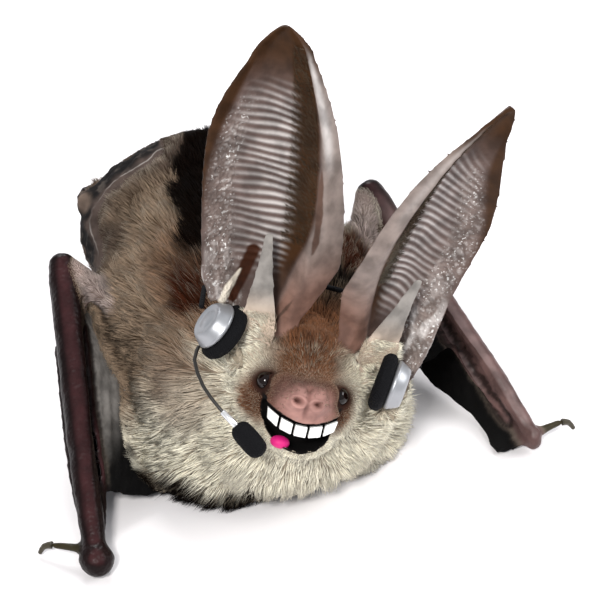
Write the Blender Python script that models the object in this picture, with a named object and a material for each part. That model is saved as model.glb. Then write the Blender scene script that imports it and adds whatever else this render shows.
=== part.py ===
"""A brown long-eared bat (Plecotus auritus) at life size, resting on its wrists and belly, head
raised and turned, wearing a small headset. Metres, +Z up, the bat faces -Y, its left side is +X.
The origin is on the floor, in the middle of the flat on which the belly rests.

Soft outlines reach to the tips of the coat. The head, neck and trunk are blended from ellipsoids
and parted with thin plane cuts. Limbs, ears and kit are lofted, then cut back from what they meet.
"""

import math

import bmesh
import bpy
from mathutils import Euler, Matrix, Vector

MM = 0.001
GAP = 0.3 * MM  # clearance between touching pieces
SIDES = {"right": -1, "left": 1}

# Driving sizes
FOREARM = 39.5 * MM
EAR_LENGTH = 36.5 * MM  # above the crown
EAR_HALF_WIDTH = 8.1 * MM
EYE_RADIUS = 1.15 * MM
MEMBRANE = 0.6 * MM

# The head is placed by the midpoint between its eyes and turned as a whole
EYES_MID = Vector((-2.0, -19.0, 19.5)) * MM
HEAD_YAW, HEAD_PITCH, HEAD_ROLL = (math.radians(a) for a in (-16, 30, 16))

# Joints of the right wing and leg as (outward, back, up); the left side mirrors them
WRIST = Vector((28.4, -20.0, 2.3)) * MM
ELBOW = WRIST + Vector((-7.7, 35.5, 15.7)).normalized() * FOREARM
HIP = Vector((3.5, 31.0, 15.5)) * MM
KNEE = Vector((13.0, 31.5, 14.8)) * MM
ANKLE = Vector((4.8, 35.5, 2.6)) * MM
TOES = Vector((5.6, 43.0, 0.8)) * MM

# The open mouth, in the head's own frame: x to its left, y backward, z up from the eyes
EYE_SPREAD = 4.4 * MM
EYE_DEPTH = 0.35 * MM
MOUTH_HALF = 4.65 * MM
MOUTH_SHIFT = 0.2 * MM
MOUTH_CORNER = -1.5 * MM
UPPER_LIP = -2.95 * MM
LOWER_LIP = -6.4 * MM
MOUTH_BACK = 0.6 * MM
TEETH = 5
TOOTH_ROW = 8.6 * MM
TOOTH_HEIGHT = 1.3 * MM
TOOTH_THICK = 0.8 * MM
TOOTH_FRONT = -5.3 * MM
TOOTH_CURVE = 1.6 * MM  # how far back the ends of the row stand
TOOTH_FOOT = 3.95 * MM  # the row's half width at its lower edge
TONGUE = Vector((-1.5, -2.6, -4.7)) * MM
TONGUE_RADII = (1.2 * MM, 1.9 * MM, 0.55 * MM)

COLOURS = {
    "fur_brown": ((0.26, 0.19, 0.13), 0.9),
    "fur_cream": ((0.62, 0.55, 0.42), 0.9),
    "ear_skin": ((0.36, 0.27, 0.23), 0.4),
    "wing_skin": ((0.10, 0.06, 0.05), 0.5),
    "eye": ((0.02, 0.012, 0.01), 0.1),
    "claw": ((0.12, 0.09, 0.06), 0.4),
    "tooth": ((0.9, 0.9, 0.88), 0.3),
    "tongue": ((0.7, 0.02, 0.25), 0.4),
    "headset_black": ((0.015, 0.015, 0.018), 0.8),
    "headset_silver": ((0.75, 0.76, 0.78), 0.3),
}


# ---------------------------------------------------------------- helpers


def clear_scene():
    for obj in list(bpy.data.objects):
        bpy.data.objects.remove(obj)


def material(name):
    found = bpy.data.materials.get(name)
    if found:
        return found
    colour, roughness = COLOURS[name]
    made = bpy.data.materials.new(name)
    made.use_nodes = True
    shader = made.node_tree.nodes["Principled BSDF"]
    shader.inputs["Base Color"].default_value = (*colour, 1)
    shader.inputs["Roughness"].default_value = roughness
    shader.inputs["Metallic"].default_value = 1.0 if name == "headset_silver" else 0.0
    return made


def add_object(name, bm, finish=None, smooth=True):
    mesh = bpy.data.meshes.new(name)
    bmesh.ops.recalc_face_normals(bm, faces=bm.faces)
    if bm.calc_volume(signed=True) < 0:
        bmesh.ops.reverse_faces(bm, faces=bm.faces)
    bm.to_mesh(mesh)
    bm.free()
    if smooth:
        mesh.shade_smooth()
    obj = bpy.data.objects.new(name, mesh)
    bpy.context.scene.collection.objects.link(obj)
    if finish:
        mesh.materials.append(material(finish))
    return obj


def as_helper(obj):
    """Keeps an object out of the model: a cutter or a guide."""
    obj.hide_render = True
    obj.display_type = "WIRE"
    return obj


def evaluated(obj):
    """A bmesh of the object in world space with its modifiers applied."""
    graph = bpy.context.evaluated_depsgraph_get()
    source = obj.evaluated_get(graph)
    mesh = source.to_mesh()
    bm = bmesh.new()
    bm.from_mesh(mesh)
    bm.transform(obj.matrix_world)
    source.to_mesh_clear()
    return bm


def mirrored(point, side):
    return Vector((point.x * side, point.y, point.z))


def smooth_path(points, steps):
    """Points on a Catmull-Rom curve through the given ones, steps to each span."""
    ends = [points[0] * 2 - points[1], *points, points[-1] * 2 - points[-2]]
    path = []
    for i in range(1, len(ends) - 2):
        a, b, c, d = ends[i - 1 : i + 3]
        for j in range(steps):
            t = j / steps
            path.append(
                0.5
                * (
                    2 * b
                    + (c - a) * t
                    + (2 * a - 5 * b + 4 * c - d) * t * t
                    + (3 * b - 3 * c + d - a) * t**3
                )
            )
    return [*path, points[-1].copy()]


def blend_values(values, t):
    """The value at t from 0 to 1 on a smooth curve through evenly spaced values."""
    at = min(max(t, 0), 1) * (len(values) - 1)
    i = min(int(at), len(values) - 2)
    f = at - i
    b, c = values[i], values[i + 1]
    a = values[i - 1] if i else 2 * b - c
    d = values[i + 2] if i + 2 < len(values) else 2 * c - b
    bend = (2 * a - 5 * b + 4 * c - d) * f + (3 * b - 3 * c + d - a) * f * f
    return b + 0.5 * f * (c - a + bend)


def tube(bm, path, widths, heights=None, sides=10, up=Vector((0, 0, 1))):
    """Lofts a closed tube with rounded ends along a path. Widths and heights are radii spread
    evenly from its start to its end; height is measured towards up."""
    heights = heights or widths
    rings = []
    last = Vector()
    for i, point in enumerate(path):
        ahead = path[min(i + 1, len(path) - 1)] - path[max(i - 1, 0)]
        ahead.normalize()
        across = ahead.cross(up)
        if across.length < 0.05:
            across = ahead.cross(Vector((0, 1, 0)))
        across.normalize()
        if across.dot(last) < 0:
            across.negate()
        last = across
        over = across.cross(ahead)
        t = i / (len(path) - 1)
        width, height = blend_values(widths, t), blend_values(heights, t)
        ring = []
        for k in range(sides):
            a = 2 * math.pi * k / sides
            ring.append(
                bm.verts.new(point + across * width * math.cos(a) + over * height * math.sin(a))
            )
        rings.append(ring)
    for a, b in zip(rings, rings[1:]):
        for k in range(sides):
            bm.faces.new((a[k], a[(k + 1) % sides], b[(k + 1) % sides], b[k]))
    for ring, end, inner in ((rings[0], path[0], path[1]), (rings[-1], path[-1], path[-2])):
        out = (end - inner).normalized()
        radius = sum((v.co - end).length for v in ring) / sides
        tip = bm.verts.new(end + out * radius * 0.55)
        for k in range(sides):
            bm.faces.new((ring[k], ring[(k + 1) % sides], tip))
    bmesh.ops.recalc_face_normals(bm, faces=bm.faces)


def add_tube(name, points, widths, finish, heights=None, sides=10, steps=3):
    bm = bmesh.new()
    tube(bm, smooth_path(points, steps), widths, heights, sides)
    return add_object(name, bm, finish)


def thick_sheet(name, rows, thickness, finish=None):
    """A closed sheet of the given thickness about a grid of points, given as rows."""
    bm = bmesh.new()
    count = len(rows[0])

    def normal(i, j):
        along = rows[min(i + 1, len(rows) - 1)][j] - rows[max(i - 1, 0)][j]
        across = rows[i][min(j + 1, count - 1)] - rows[i][max(j - 1, 0)]
        return along.cross(across).normalized()

    layers = []
    for sign in (0.5, -0.5):
        layers.append(
            [
                [bm.verts.new(p + normal(i, j) * thickness * sign) for j, p in enumerate(row)]
                for i, row in enumerate(rows)
            ]
        )
    for layer in layers:
        for a, b in zip(layer, layer[1:]):
            for j in range(count - 1):
                bm.faces.new((a[j], a[j + 1], b[j + 1], b[j]))
    front, rear = layers
    rim = [(0, j) for j in range(count)]
    rim += [(i, count - 1) for i in range(1, len(rows))]
    rim += [(len(rows) - 1, j) for j in range(count - 2, -1, -1)]
    rim += [(i, 0) for i in range(len(rows) - 2, 0, -1)]
    for (i, j), (k, m) in zip(rim, rim[1:] + rim[:1]):
        bm.faces.new((front[i][j], front[k][m], rear[k][m], rear[i][j]))
    return add_object(name, bm, finish)


def blob(bm, centre, radii, frame=Matrix.Identity(4), detail=3):
    """Adds an ellipsoid: centre and radii in millimetres, in the given frame."""
    scale = Matrix.Diagonal((*(Vector(radii) * MM), 1))
    place = frame @ Matrix.Translation(Vector(centre) * MM) @ scale
    bmesh.ops.create_icosphere(bm, subdivisions=detail, radius=1, matrix=place)


def swollen(obj, by=GAP):
    """A helper copy of the object, grown by the clearance along its normals."""
    bm = evaluated(obj)
    bm.normal_update()
    for v, shift in [(v, v.normal * by) for v in bm.verts]:
        v.co += shift
    return as_helper(add_object(obj.name + "_cutter", bm))


def clean_cutter(obj, by=GAP * 1.2, faces=2600):
    """A grown helper copy that is remeshed, so that its creases don't cross each other."""
    cutter = swollen(obj, by)
    remesh = cutter.modifiers.new("one_surface", "REMESH")
    remesh.mode = "VOXEL"
    remesh.voxel_size = 0.55 * MM
    fewer = cutter.modifiers.new("fewer_faces", "DECIMATE")
    fewer.ratio = faces / (2 * len(evaluated(cutter).faces))
    return cutter


def cut_back(obj, *cutters):
    """Removes the cutters' volumes from the object."""
    for cutter in cutters:
        cut = obj.modifiers.new("clear_of_" + cutter.name, "BOOLEAN")
        cut.operation = "DIFFERENCE"
        cut.object = cutter
    return obj


def keep_side(bm, point, normal):
    """Cuts a closed mesh by a plane and keeps the side that the normal points away from."""
    everything = bm.verts[:] + bm.edges[:] + bm.faces[:]
    cut = bmesh.ops.bisect_plane(
        bm, geom=everything, plane_co=point, plane_no=normal, clear_outer=True
    )
    edges = [g for g in cut["geom_cut"] if isinstance(g, bmesh.types.BMEdge)]
    lid = bmesh.ops.holes_fill(bm, edges=edges)["faces"]
    bmesh.ops.triangulate(bm, faces=lid)
    bmesh.ops.recalc_face_normals(bm, faces=bm.faces)


# ---------------------------------------------------------------- head, neck and trunk


def head_frame():
    turn = Euler((-HEAD_PITCH, HEAD_ROLL, HEAD_YAW), "YXZ").to_matrix().to_4x4()
    return Matrix.Translation(EYES_MID) @ turn


HEAD = head_frame()


def head_line(points, steps):
    """A smooth line through points given in the head's frame in millimetres."""
    return smooth_path([HEAD @ (Vector(p) * MM) for p in points], steps)


TRUNK_BLOBS = {
    "belly": ((-0.5, 7, 11.5), (18.3, 19, 13.5)),
    "breast_right": ((-7, -3, 3.8), (13.3, 15.6, 8)),
    "breast_left": ((5.5, -5, 3.8), (12.5, 13.6, 8)),
    "chest": ((-1.5, -4, 10.5), (17, 13.5, 11)),
    "back": ((0, 11, 15), (15, 17, 12)),
    "rump": ((-0.5, 22, 13.5), (16.2, 13.5, 12.2)),
    "shoulder_right": ((-10, -4, 14), (7, 9, 7)),
    "shoulder_left": ((10, -4, 14), (7, 9, 7)),
    "throat": ((-0.8, -14.5, 8.5), (12.6, 8, 8)),
    "neck": ((-1.5, -9, 15.0), (9.5, 8.5, 8.5)),
}

HEAD_BLOBS = {
    "cranium": ((0, 7.0, 1.0), (6.8, 7.2, 4.8)),
    "forehead": ((0.6, 4.0, 3.2), (4.8, 4.8, 3.6)),
    "orbit_right": ((-3.7, 2.8, 0.1), (2.9, 3.1, 2.5)),
    "orbit_left": ((3.7, 2.8, 0.1), (2.9, 3.1, 2.5)),
    "cheek_right": ((-5.2, 5.0, -1.2), (3.9, 5.2, 4.8)),
    "cheek_left": ((5.2, 5.0, -1.2), (3.9, 5.2, 4.8)),
    "ear_root_right": ((-5.6, 7.2, 3.8), (4.2, 3.6, 3.2)),
    "ear_root_left": ((5.6, 7.2, 3.2), (4.2, 3.6, 3.2)),
    "muzzle": ((0, -1.2, -0.6), (4.0, 5.0, 2.5)),
    "nostril_pad_right": ((-1.5, -4.6, -0.3), (1.9, 2.1, 1.7)),
    "nostril_pad_left": ((1.5, -4.6, -0.3), (1.9, 2.1, 1.7)),
    "upper_lip": ((0.1, -1.6, -1.6), (5.0, 4.3, 1.6)),
    "jaw": ((0.3, 0.6, -5.6), (5.4, 5.2, 2.7)),
    "chin": ((0.5, -2.9, -6.3), (3.2, 2.5, 1.8)),
    "gullet": ((0, 4.5, -5.0), (6.4, 5.5, 4.6)),
}

VOXEL = 0.75 * MM
BODY_TRIANGLES = 1700
# The body is parted by two sloping planes at these distances from the origin, and at the waist
HEAD_CUT = 21.2 * MM
NECK_CUT = 15.6 * MM
WAIST = 9.0 * MM


def blended_body():
    """The coat's outer surface over head, neck and trunk, as one closed helper mesh."""
    bm = bmesh.new()
    for centre, radii in TRUNK_BLOBS.values():
        blob(bm, centre, radii)
    for centre, radii in HEAD_BLOBS.values():
        blob(bm, centre, radii, HEAD)
    body = as_helper(add_object("body_blend", bm))
    remesh = body.modifiers.new("one_surface", "REMESH")
    remesh.mode = "VOXEL"
    remesh.voxel_size = VOXEL
    relax = body.modifiers.new("relax", "SMOOTH")
    relax.factor, relax.iterations = 0.5, 8
    fewer = body.modifiers.new("fewer_faces", "DECIMATE")
    count = len(evaluated(body).faces) * 2
    fewer.ratio = BODY_TRIANGLES / count
    return body


def upper_lip(x):
    """The height of the upper lip at x across the mouth: a shallow arc between the corners."""
    return MOUTH_CORNER + (UPPER_LIP - MOUTH_CORNER) * (1 - (x / MOUTH_HALF) ** 2)


def lower_lip(x):
    """The height of the lower lip at x across the mouth: half an ellipse."""
    return MOUTH_CORNER + (LOWER_LIP - MOUTH_CORNER) * math.sqrt(max(1 - (x / MOUTH_HALF) ** 2, 0))


def mouth_cutter():
    """The open mouth: a wide D between the lips, pushed into the head."""
    steps = 8
    outline = []
    for lip, run in ((upper_lip, range(-steps, steps)), (lower_lip, range(steps, -steps, -1))):
        for i in run:
            x = math.sin(i / steps * math.pi / 2) * MOUTH_HALF
            outline.append((x + MOUTH_SHIFT, lip(x)))
    bm = bmesh.new()
    ends = []
    for y in (-10 * MM, MOUTH_BACK):
        ends.append([bm.verts.new(HEAD @ Vector((x, y, z))) for x, z in outline])
    count = len(outline)
    for k in range(count):
        n = (k + 1) % count
        bm.faces.new((ends[0][k], ends[0][n], ends[1][n], ends[1][k]))
    for ring in ends:
        bm.faces.new(ring)
    return as_helper(add_object("mouth_cutter", bm))


def ball(name, centre, radius, finish=None, frame=HEAD, detail=2):
    bm = bmesh.new()
    radii = radius if isinstance(radius, tuple) else (radius, radius, radius)
    blob(bm, [c / MM for c in centre], [r / MM for r in radii], frame, detail)
    return add_object(name, bm, finish)


def face_parts(head, jaw):
    """Eyes in sockets, and the mouth with its upper teeth and tongue."""
    mouth = mouth_cutter()
    cut_back(head, mouth)
    cut_back(jaw, mouth)
    for side_name, side in SIDES.items():
        centre = Vector((EYE_SPREAD * side, EYE_DEPTH, 0))
        socket = as_helper(ball("socket_" + side_name, centre, EYE_RADIUS + GAP))
        cut_back(head, socket)
        ball("eye_" + side_name, centre, EYE_RADIUS, "eye")
    span = TOOTH_ROW / TEETH
    for i in range(TEETH):
        bm = bmesh.new()
        middle = (i - (TEETH - 1) / 2) * span
        corners = []
        for x in (middle - span / 2 + GAP / 2, middle + span / 2 - GAP / 2):
            front = TOOTH_FRONT + TOOTH_CURVE * (x / MOUTH_HALF) ** 2
            top = upper_lip(x) - GAP
            narrow = max(-TOOTH_FOOT, min(x, TOOTH_FOOT))
            for y in (front, front + TOOTH_THICK):
                for across, z in ((x, top), (narrow, top - TOOTH_HEIGHT)):
                    corners.append(bm.verts.new(HEAD @ Vector((across + MOUTH_SHIFT, y, z))))
        bmesh.ops.convex_hull(bm, input=corners)
        add_object(f"tooth_{i + 1}", bm, "tooth", smooth=False)
    ball("tongue", TONGUE, TONGUE_RADII, "tongue")


def axial_parts(body):
    """Parts the blended body with plane cuts into head, jaw, neck, chest and abdomen."""
    half = GAP / 2
    slope = Vector((0, -1, 1)).normalized()
    head_back = slope * HEAD_CUT
    neck_back = slope * NECK_CUT
    down = HEAD.to_3x3() @ Vector((0, -0.25, -1)).normalized()
    mouth_corner = HEAD @ Vector((0, 1.2 * MM, MOUTH_CORNER - 0.4 * MM))
    waist = Vector((0, WAIST, 0))
    back = Vector((0, 1, 0))
    floor = (Vector((0, 0, 0)), Vector((0, 0, -1)))
    cuts = {
        "head": [(head_back + slope * half, -slope), (mouth_corner - down * half, down)],
        "jaw": [(head_back + slope * half, -slope), (mouth_corner + down * half, -down)],
        "neck": [(head_back - slope * half, slope), (neck_back + slope * half, -slope)],
        "chest": [(neck_back - slope * half, slope), (waist - back * half, back), floor],
        "abdomen": [(waist + back * half, -back), floor],
    }
    finish = {"jaw": "fur_cream", "neck": "fur_cream"}
    made = {}
    for name, planes in cuts.items():
        bm = evaluated(body)
        for point, normal in planes:
            keep_side(bm, point, normal)
        made[name] = add_object(name, bm, finish.get(name, "fur_brown"))
    return made


# ---------------------------------------------------------------- ears

# For each ear in the head's frame, in millimetres: the middle of its root, the way it points,
# the way its hollow side faces at the root and above, how far its inner root stands above its
# outer one, its half width from root to tip, and how far inward its middle stands off the line
# from root to tip
EARS = {
    "right": {
        "root": (-5.4, 5.0, 5.6),
        "points": (-0.174, -0.200, 0.964),
        "facing_root": (-0.12, -0.98, 0.15),
        "facing": (-0.12, -0.98, 0.15),
        "root_step": 3.0,
        "outline": (0.40, 0.94, 1.0, 1.03, 1.02, 0.985, 0.91, 0.73, 0.47),
        "bow": (0.0, 0.25, 0.2, 0.1, -0.1, -0.4, -0.6, -0.5, -0.1, 0.0),
    },
    "left": {
        "root": (6.8, 4.6, 4.4),
        "points": (0.212, -0.345, 0.914),
        "facing_root": (0.25, -0.95, 0.1),
        "facing": (0.66, -0.75, 0.0),
        "root_step": 3.5,
        "outline": (0.50, 0.80, 0.84, 0.94, 1.01, 0.98, 0.83, 0.59, 0.30),
        "bow": (0.0, 0.5, 1.0, 1.5, 1.7, 1.65, 1.9, 2.0, 1.4, 0.0),
    },
}
# Where the rounded tip starts, and how far across the ear the keel stands from root to tip,
# where 1 is the inner edge
TIP_START = 0.89
KEEL_ACROSS = (0.20, 0.38, 0.52, 0.60, 0.65, 0.70, 0.74, 0.77, 0.78, 0.76)
KEEL_HEIGHT = {"right": 0.26, "left": 0.10}  # in half widths


def ear_half_width(outline, u):
    if u <= TIP_START:
        return EAR_HALF_WIDTH * blend_values(outline, max(u, 0) / TIP_START)
    t = min((u - TIP_START) / (1 - TIP_START), 1)
    return EAR_HALF_WIDTH * max(outline[-1] * (1 - t**1.6) ** 0.9, 0.035)


def ear_axes(ear, u):
    """The inward and facing directions across an ear at u along it, for its side."""
    along = Vector(ear["points"]).normalized()
    turn = min(max(u / 0.45, 0), 1)
    turn = turn * turn * (3 - 2 * turn)
    facing = Vector(ear["facing_root"]).lerp(Vector(ear["facing"]), turn)
    facing = (facing - along * facing.dot(along)).normalized()
    return facing.cross(along), facing


def ear_depth(crest, u, v):
    """How far the ear's sheet stands forward at u along it and v across, in half widths, where
    its keel stands as high as the crest."""
    keel = blend_values(KEEL_ACROSS, u)
    trough, rim, edge = -0.15, 0.25, -0.05
    if v < -0.2:
        t = (v + 1) / 0.8
        depth = rim + (trough - rim) * math.sin(t * math.pi / 2)
    elif v < keel:
        t = (v + 0.2) / (keel + 0.2)
        depth = trough + (crest - trough) * t * t * t
    else:
        depth = crest + (edge - crest) * (v - keel) / (1 - keel)
    depth *= blend_values((1.0, 1.0, 1.0, 0.9, 0.3), u)
    curl = max(0, 1 - u / 0.3) ** 2
    return depth + curl * (0.45 * max(0, -v - 0.35) + 0.1 * max(0, v))


def ear_point(side_name, u, v):
    """A point of the ear, u from root to tip and v from its outer edge at -1 to its inner at 1."""
    ear = EARS[side_name]
    inward, facing = ear_axes(ear, u)
    inward *= SIDES[side_name]
    along = Vector(ear["points"]).normalized()
    half = ear_half_width(ear["outline"], u)
    bow = blend_values(ear["bow"], u) * MM
    step = ear["root_step"] * MM * max(v, 0.3 * v) * max(0, 1 - max(u, 0) / 0.4) ** 2
    place = Vector(ear["root"]) * MM + along * (u * EAR_LENGTH + step)
    place += inward * (half * v + bow)
    return HEAD @ (place + facing * ear_depth(KEEL_HEIGHT[side_name], u, v) * EAR_HALF_WIDTH)


def ear_rows(side_name, starts, ends, count, spread):
    """Points of an ear from one height along it to another, over its width times the spread."""
    rows = []
    for i in range(count):
        u = starts + (ends - starts) * math.sin(math.pi / 2 * i / (count - 1)) ** 0.85
        across = [spread * (2 * j / 8 - 1) for j in range(9)]
        rows.append([ear_point(side_name, u, v) for v in across])
    return rows


def ears():
    """Both ears, and a cutter for each that keeps other pieces clear of its lower part."""
    made, cutters = {}, {}
    for side_name in SIDES:
        rows = ear_rows(side_name, -0.08, 1.0, 17, 1.0)
        made[side_name] = thick_sheet("ear_" + side_name, rows, MEMBRANE, "ear_skin")
        rows = ear_rows(side_name, -0.1, 0.6, 9, 1.06)
        cutters[side_name] = as_helper(
            thick_sheet("ear_cutter_" + side_name, rows, MEMBRANE + 2 * GAP)
        )
    return made, cutters


# The tragus of each ear in the head's frame: root, middle and tip
TRAGI = {
    "right": ((-6.6, 1.2, 4.0), (-7.1, 0.8, 9.5), (-7.9, 0.2, 17.0)),
    "left": ((7.4, 1.0, 4.0), (8.4, -0.6, 9.5), (10.0, -2.0, 15.8)),
}


def tragi():
    made = {}
    for side_name, points in TRAGI.items():
        path = head_line(points, 3)
        bm = bmesh.new()
        facing = HEAD.to_3x3() @ ear_axes(EARS[side_name], 0.1)[1]
        widths = [w * MM for w in (3.0, 2.8, 1.9, 1.2, 0.75)]
        depths = [w * MM for w in (0.55, 0.5, 0.4, 0.35, 0.3)]
        tube(bm, path, widths, depths, 8, facing)
        made[side_name] = add_object("tragus_" + side_name, bm, "ear_skin")
    return made


# ---------------------------------------------------------------- wings


def wing(side_name, body_cutter):
    """A folded wing: arm bones, thumb, fingers and the skin that hangs between them."""
    side = SIDES[side_name]

    def at(x, y, z):
        return Vector((x * side, y, z)) * MM

    wrist, elbow = mirrored(WRIST, side), mirrored(ELBOW, side)
    back_up = (elbow - wrist).normalized()
    middle = (wrist + elbow) / 2 + at(0.5, 0, 0.9)
    points = [elbow + back_up * ELBOW_POINT, middle, wrist + back_up * MM]
    radii = [r * MM for r in (1.9, 2.1, 2.0, 1.8, 1.7)]
    forearm = add_tube("forearm_" + side_name, points, radii, "wing_skin", sides=9, steps=4)
    forearm_cutter = swollen(forearm)

    bm = bmesh.new()
    blob(bm, wrist / MM - at(0, 0, 0.15) / MM, WRIST_RADII[side_name], detail=2)
    keep_side(bm, Vector((0, 0, 0)), Vector((0, 0, -1)))
    hand = add_object("wrist_" + side_name, bm, "wing_skin")
    hand_cutter = swollen(hand)
    cut_back(forearm, hand_cutter)

    points = [at(9, -5, 13.5), at(15.5, 6, 15.5), elbow + at(-0.4, -0.3, -0.2)]
    radii = [r * MM for r in (2.6, 2.3, 1.9, 1.7)]
    arm = add_tube("upper_arm_" + side_name, points, radii, "wing_skin", sides=8, steps=3)
    arm_cutter = swollen(arm)
    cut_back(arm, forearm_cutter, body_cutter)

    points = [at(*p) for p in THUMBS[side_name]]
    radii = [r * MM for r in (0.8, 0.65, 0.6)]
    thumb = add_tube("thumb_" + side_name, points[:3], radii, "wing_skin", sides=8, steps=2)
    thumb_cutter = swollen(thumb)
    cut_back(thumb, hand_cutter, forearm_cutter)
    radii = [r * MM for r in (0.5, 0.4, 0.28)]
    claw = add_tube("thumb_claw_" + side_name, points[3:], radii, "claw", sides=6, steps=2)
    cut_back(claw, thumb_cutter)

    fingers = []
    for number, (outward, below, starts, length) in enumerate(FINGERS, 3):
        aside = at(outward, 0, -below)
        points = [
            wrist + aside * 0.5 + back_up * starts * MM,
            wrist + aside + at(0.2, 0, 0.3) + back_up * length * 0.35 * MM,
            wrist + aside + at(0.4, 0, 0.7) + back_up * length * 0.65 * MM,
            wrist + aside + at(0.2, 0, 0.4) + back_up * length * MM,
        ]
        radii = [r * MM for r in (0.65, 0.55, 0.5, 0.6)]
        finger = add_tube(
            f"finger_{number}_{side_name}", points, radii, "wing_skin", sides=6, steps=2
        )
        fingers.append(swollen(finger))
        cut_back(finger, hand_cutter, forearm_cutter)

    rows = []
    for t, top_in, foot_in, foot_z in WING_FOLD[side_name]:
        top = wrist.lerp(elbow, t) + at(-top_in, 0, -FOLD_DROP[side_name])
        foot = Vector((top.x - foot_in * side * MM, top.y, foot_z * MM))
        sag = at(0.4, 0, 0)
        rows.append([top, top.lerp(foot, 0.33) + sag, top.lerp(foot, 0.66) + sag, foot])
    fold = thick_sheet("wing_fold_" + side_name, rows, FOLD_THICK, "wing_skin")
    fold_cutter = swollen(fold)
    cut_back(fold, hand_cutter, forearm_cutter, body_cutter, *fingers)

    rows = []
    for t, inward, below, inner in FLANK_WEB[: WEB_ROWS[side_name]]:
        spot = elbow.lerp(wrist, t) + at(-inward, 0, -below)
        root = at(*inner)
        droop = [at(0, 0, -1.2 * math.sin(math.pi * k / 5)) for k in range(6)]
        rows.append([spot.lerp(root, k / 5) + droop[k] for k in range(6)])
    web = thick_sheet("flank_web_" + side_name, rows, MEMBRANE, "wing_skin")
    cut_back(web, forearm_cutter, arm_cutter, body_cutter, fold_cutter, *fingers)


# How far the elbow stands out past its joint, and the ball of each wrist in millimetres
ELBOW_POINT = 1.2 * MM
WRIST_RADII = {"right": (2.3, 2.4, 2.3), "left": (1.75, 1.9, 2.3)}
# Each thumb and its claw as (outward, back, up) from the body's middle, root first
THUMBS = {
    "right": (
        (28.8, -18.4, 2.2),
        (30.6, -16.9, 2.1),
        (32.2, -15.6, 1.7),
        (32.4, -15.4, 1.7),
        (33.4, -14.9, 1.3),
        (34.0, -15.0, 0.5),
    ),
    "left": (
        (29.2, -19.4, 2.2),
        (31.2, -18.9, 2.1),
        (32.9, -18.4, 1.8),
        (33.1, -18.4, 1.8),
        (34.2, -18.4, 1.4),
        (34.8, -18.8, 0.5),
    ),
}
# Folded fingers along the forearm: how far outward and below it, where they start above the
# wrist, and length
FINGERS = ((1.6, 2.3, 5.0, 30), (-2.2, 1.8, 3.6, 31))
# The folded wing's curtain: place from wrist to elbow, how far inward its top is from the bone
# and its foot from its top, and the height of its foot
FOLD_THICK = 1.3 * MM
FOLD_DROP = {"right": 2.8, "left": 1.7}  # from the bone's line to the fold's top, in millimetres
WING_FOLD = {
    "right": (
        (0.22, 0.1, 0.3, 0.8),
        (0.30, 0.1, 0.6, 0.8),
        (0.42, 0.1, 2.0, 0.8),
        (0.56, 0.1, 3.2, 1.6),
        (0.70, 0.1, 3.0, 4.6),
        (0.82, 0.1, 2.0, 8.4),
    ),
    "left": (
        (0.01, 1.5, 3.2, 0.8),
        (0.06, 1.2, 3.3, 0.8),
        (0.13, 0.4, 3.1, 0.8),
        (0.22, 0.1, 3.0, 0.8),
        (0.40, 0.1, 3.8, 1.0),
        (0.55, 0.1, 3.8, 2.2),
        (0.70, 0.1, 3.2, 5.0),
        (0.82, 0.1, 2.2, 8.4),
    ),
}
# The inner wing membrane: place from elbow to wrist, how far inward and below the bone it
# starts, and its root on the flank
FLANK_WEB = (
    (0.05, 1.3, 2.2, (15.5, 11, 14.2)),
    (0.15, 1.7, 1.8, (13.5, 8.5, 12.3)),
    (0.26, 2.15, 1.25, (12.5, 5, 9.5)),
    (0.38, 2.15, 1.25, (13.0, 1, 8.0)),
    (0.50, 2.15, 1.25, (13.5, -3, 6.5)),
    (0.60, 2.15, 1.25, (14.0, -6, 5.0)),
    (0.69, 2.15, 1.35, (14.5, -9, 3.2)),
    (0.77, 2.15, 1.5, (15.0, -12, 1.6)),
)
WEB_ROWS = {"right": 8, "left": 6}  # the right wing is spread further open


# ---------------------------------------------------------------- legs and tail


def leg(side_name, body_cutter):
    """A hind leg. Returns the line of its shin, for the tail membrane."""
    side = SIDES[side_name]
    hip, knee, ankle, toes = (mirrored(p, side) for p in (HIP, KNEE, ANKLE, TOES))
    out = Vector((0.6 * side, 0.5, 0.3)) * MM
    points = [hip, hip.lerp(knee, 0.5) + out * 0.5, knee]
    radii = [1.7 * MM, 1.5 * MM, 1.5 * MM]
    thigh = add_tube("thigh_" + side_name, points, radii, "wing_skin", sides=8, steps=2)
    thigh_cutter = swollen(thigh)
    cut_back(thigh, body_cutter)
    line = [knee, knee.lerp(ankle, 0.5) + out * 2, ankle]
    radii = [1.3 * MM, 1.1 * MM, 0.9 * MM]
    shin = add_tube("shin_" + side_name, line, radii, "wing_skin", sides=8, steps=2)
    shin_cutter = swollen(shin)
    cut_back(shin, thigh_cutter, body_cutter)
    bm = bmesh.new()
    path = smooth_path([ankle + Vector((0, -0.6, 0)) * MM, ankle.lerp(toes, 0.45), toes], 2)
    widths = [r * MM for r in (1.2, 1.6, 1.9, 1.0)]
    heights = [r * MM for r in (1.2, 1.1, 0.9, 0.6)]
    tube(bm, path, widths, heights, 8)
    keep_side(bm, Vector((0, 0, 0)), Vector((0, 0, -1)))
    foot = add_object("foot_" + side_name, bm, "wing_skin")
    cut_back(foot, shin_cutter, body_cutter)
    return line


TAIL = ((0, 33.5, 12.5), (0, 37.5, 9.6), (0, 40.2, 5.2), (0, 39.6, 1.9), (0, 35.5, 1.1), (0, 30, 1.0))


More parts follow.
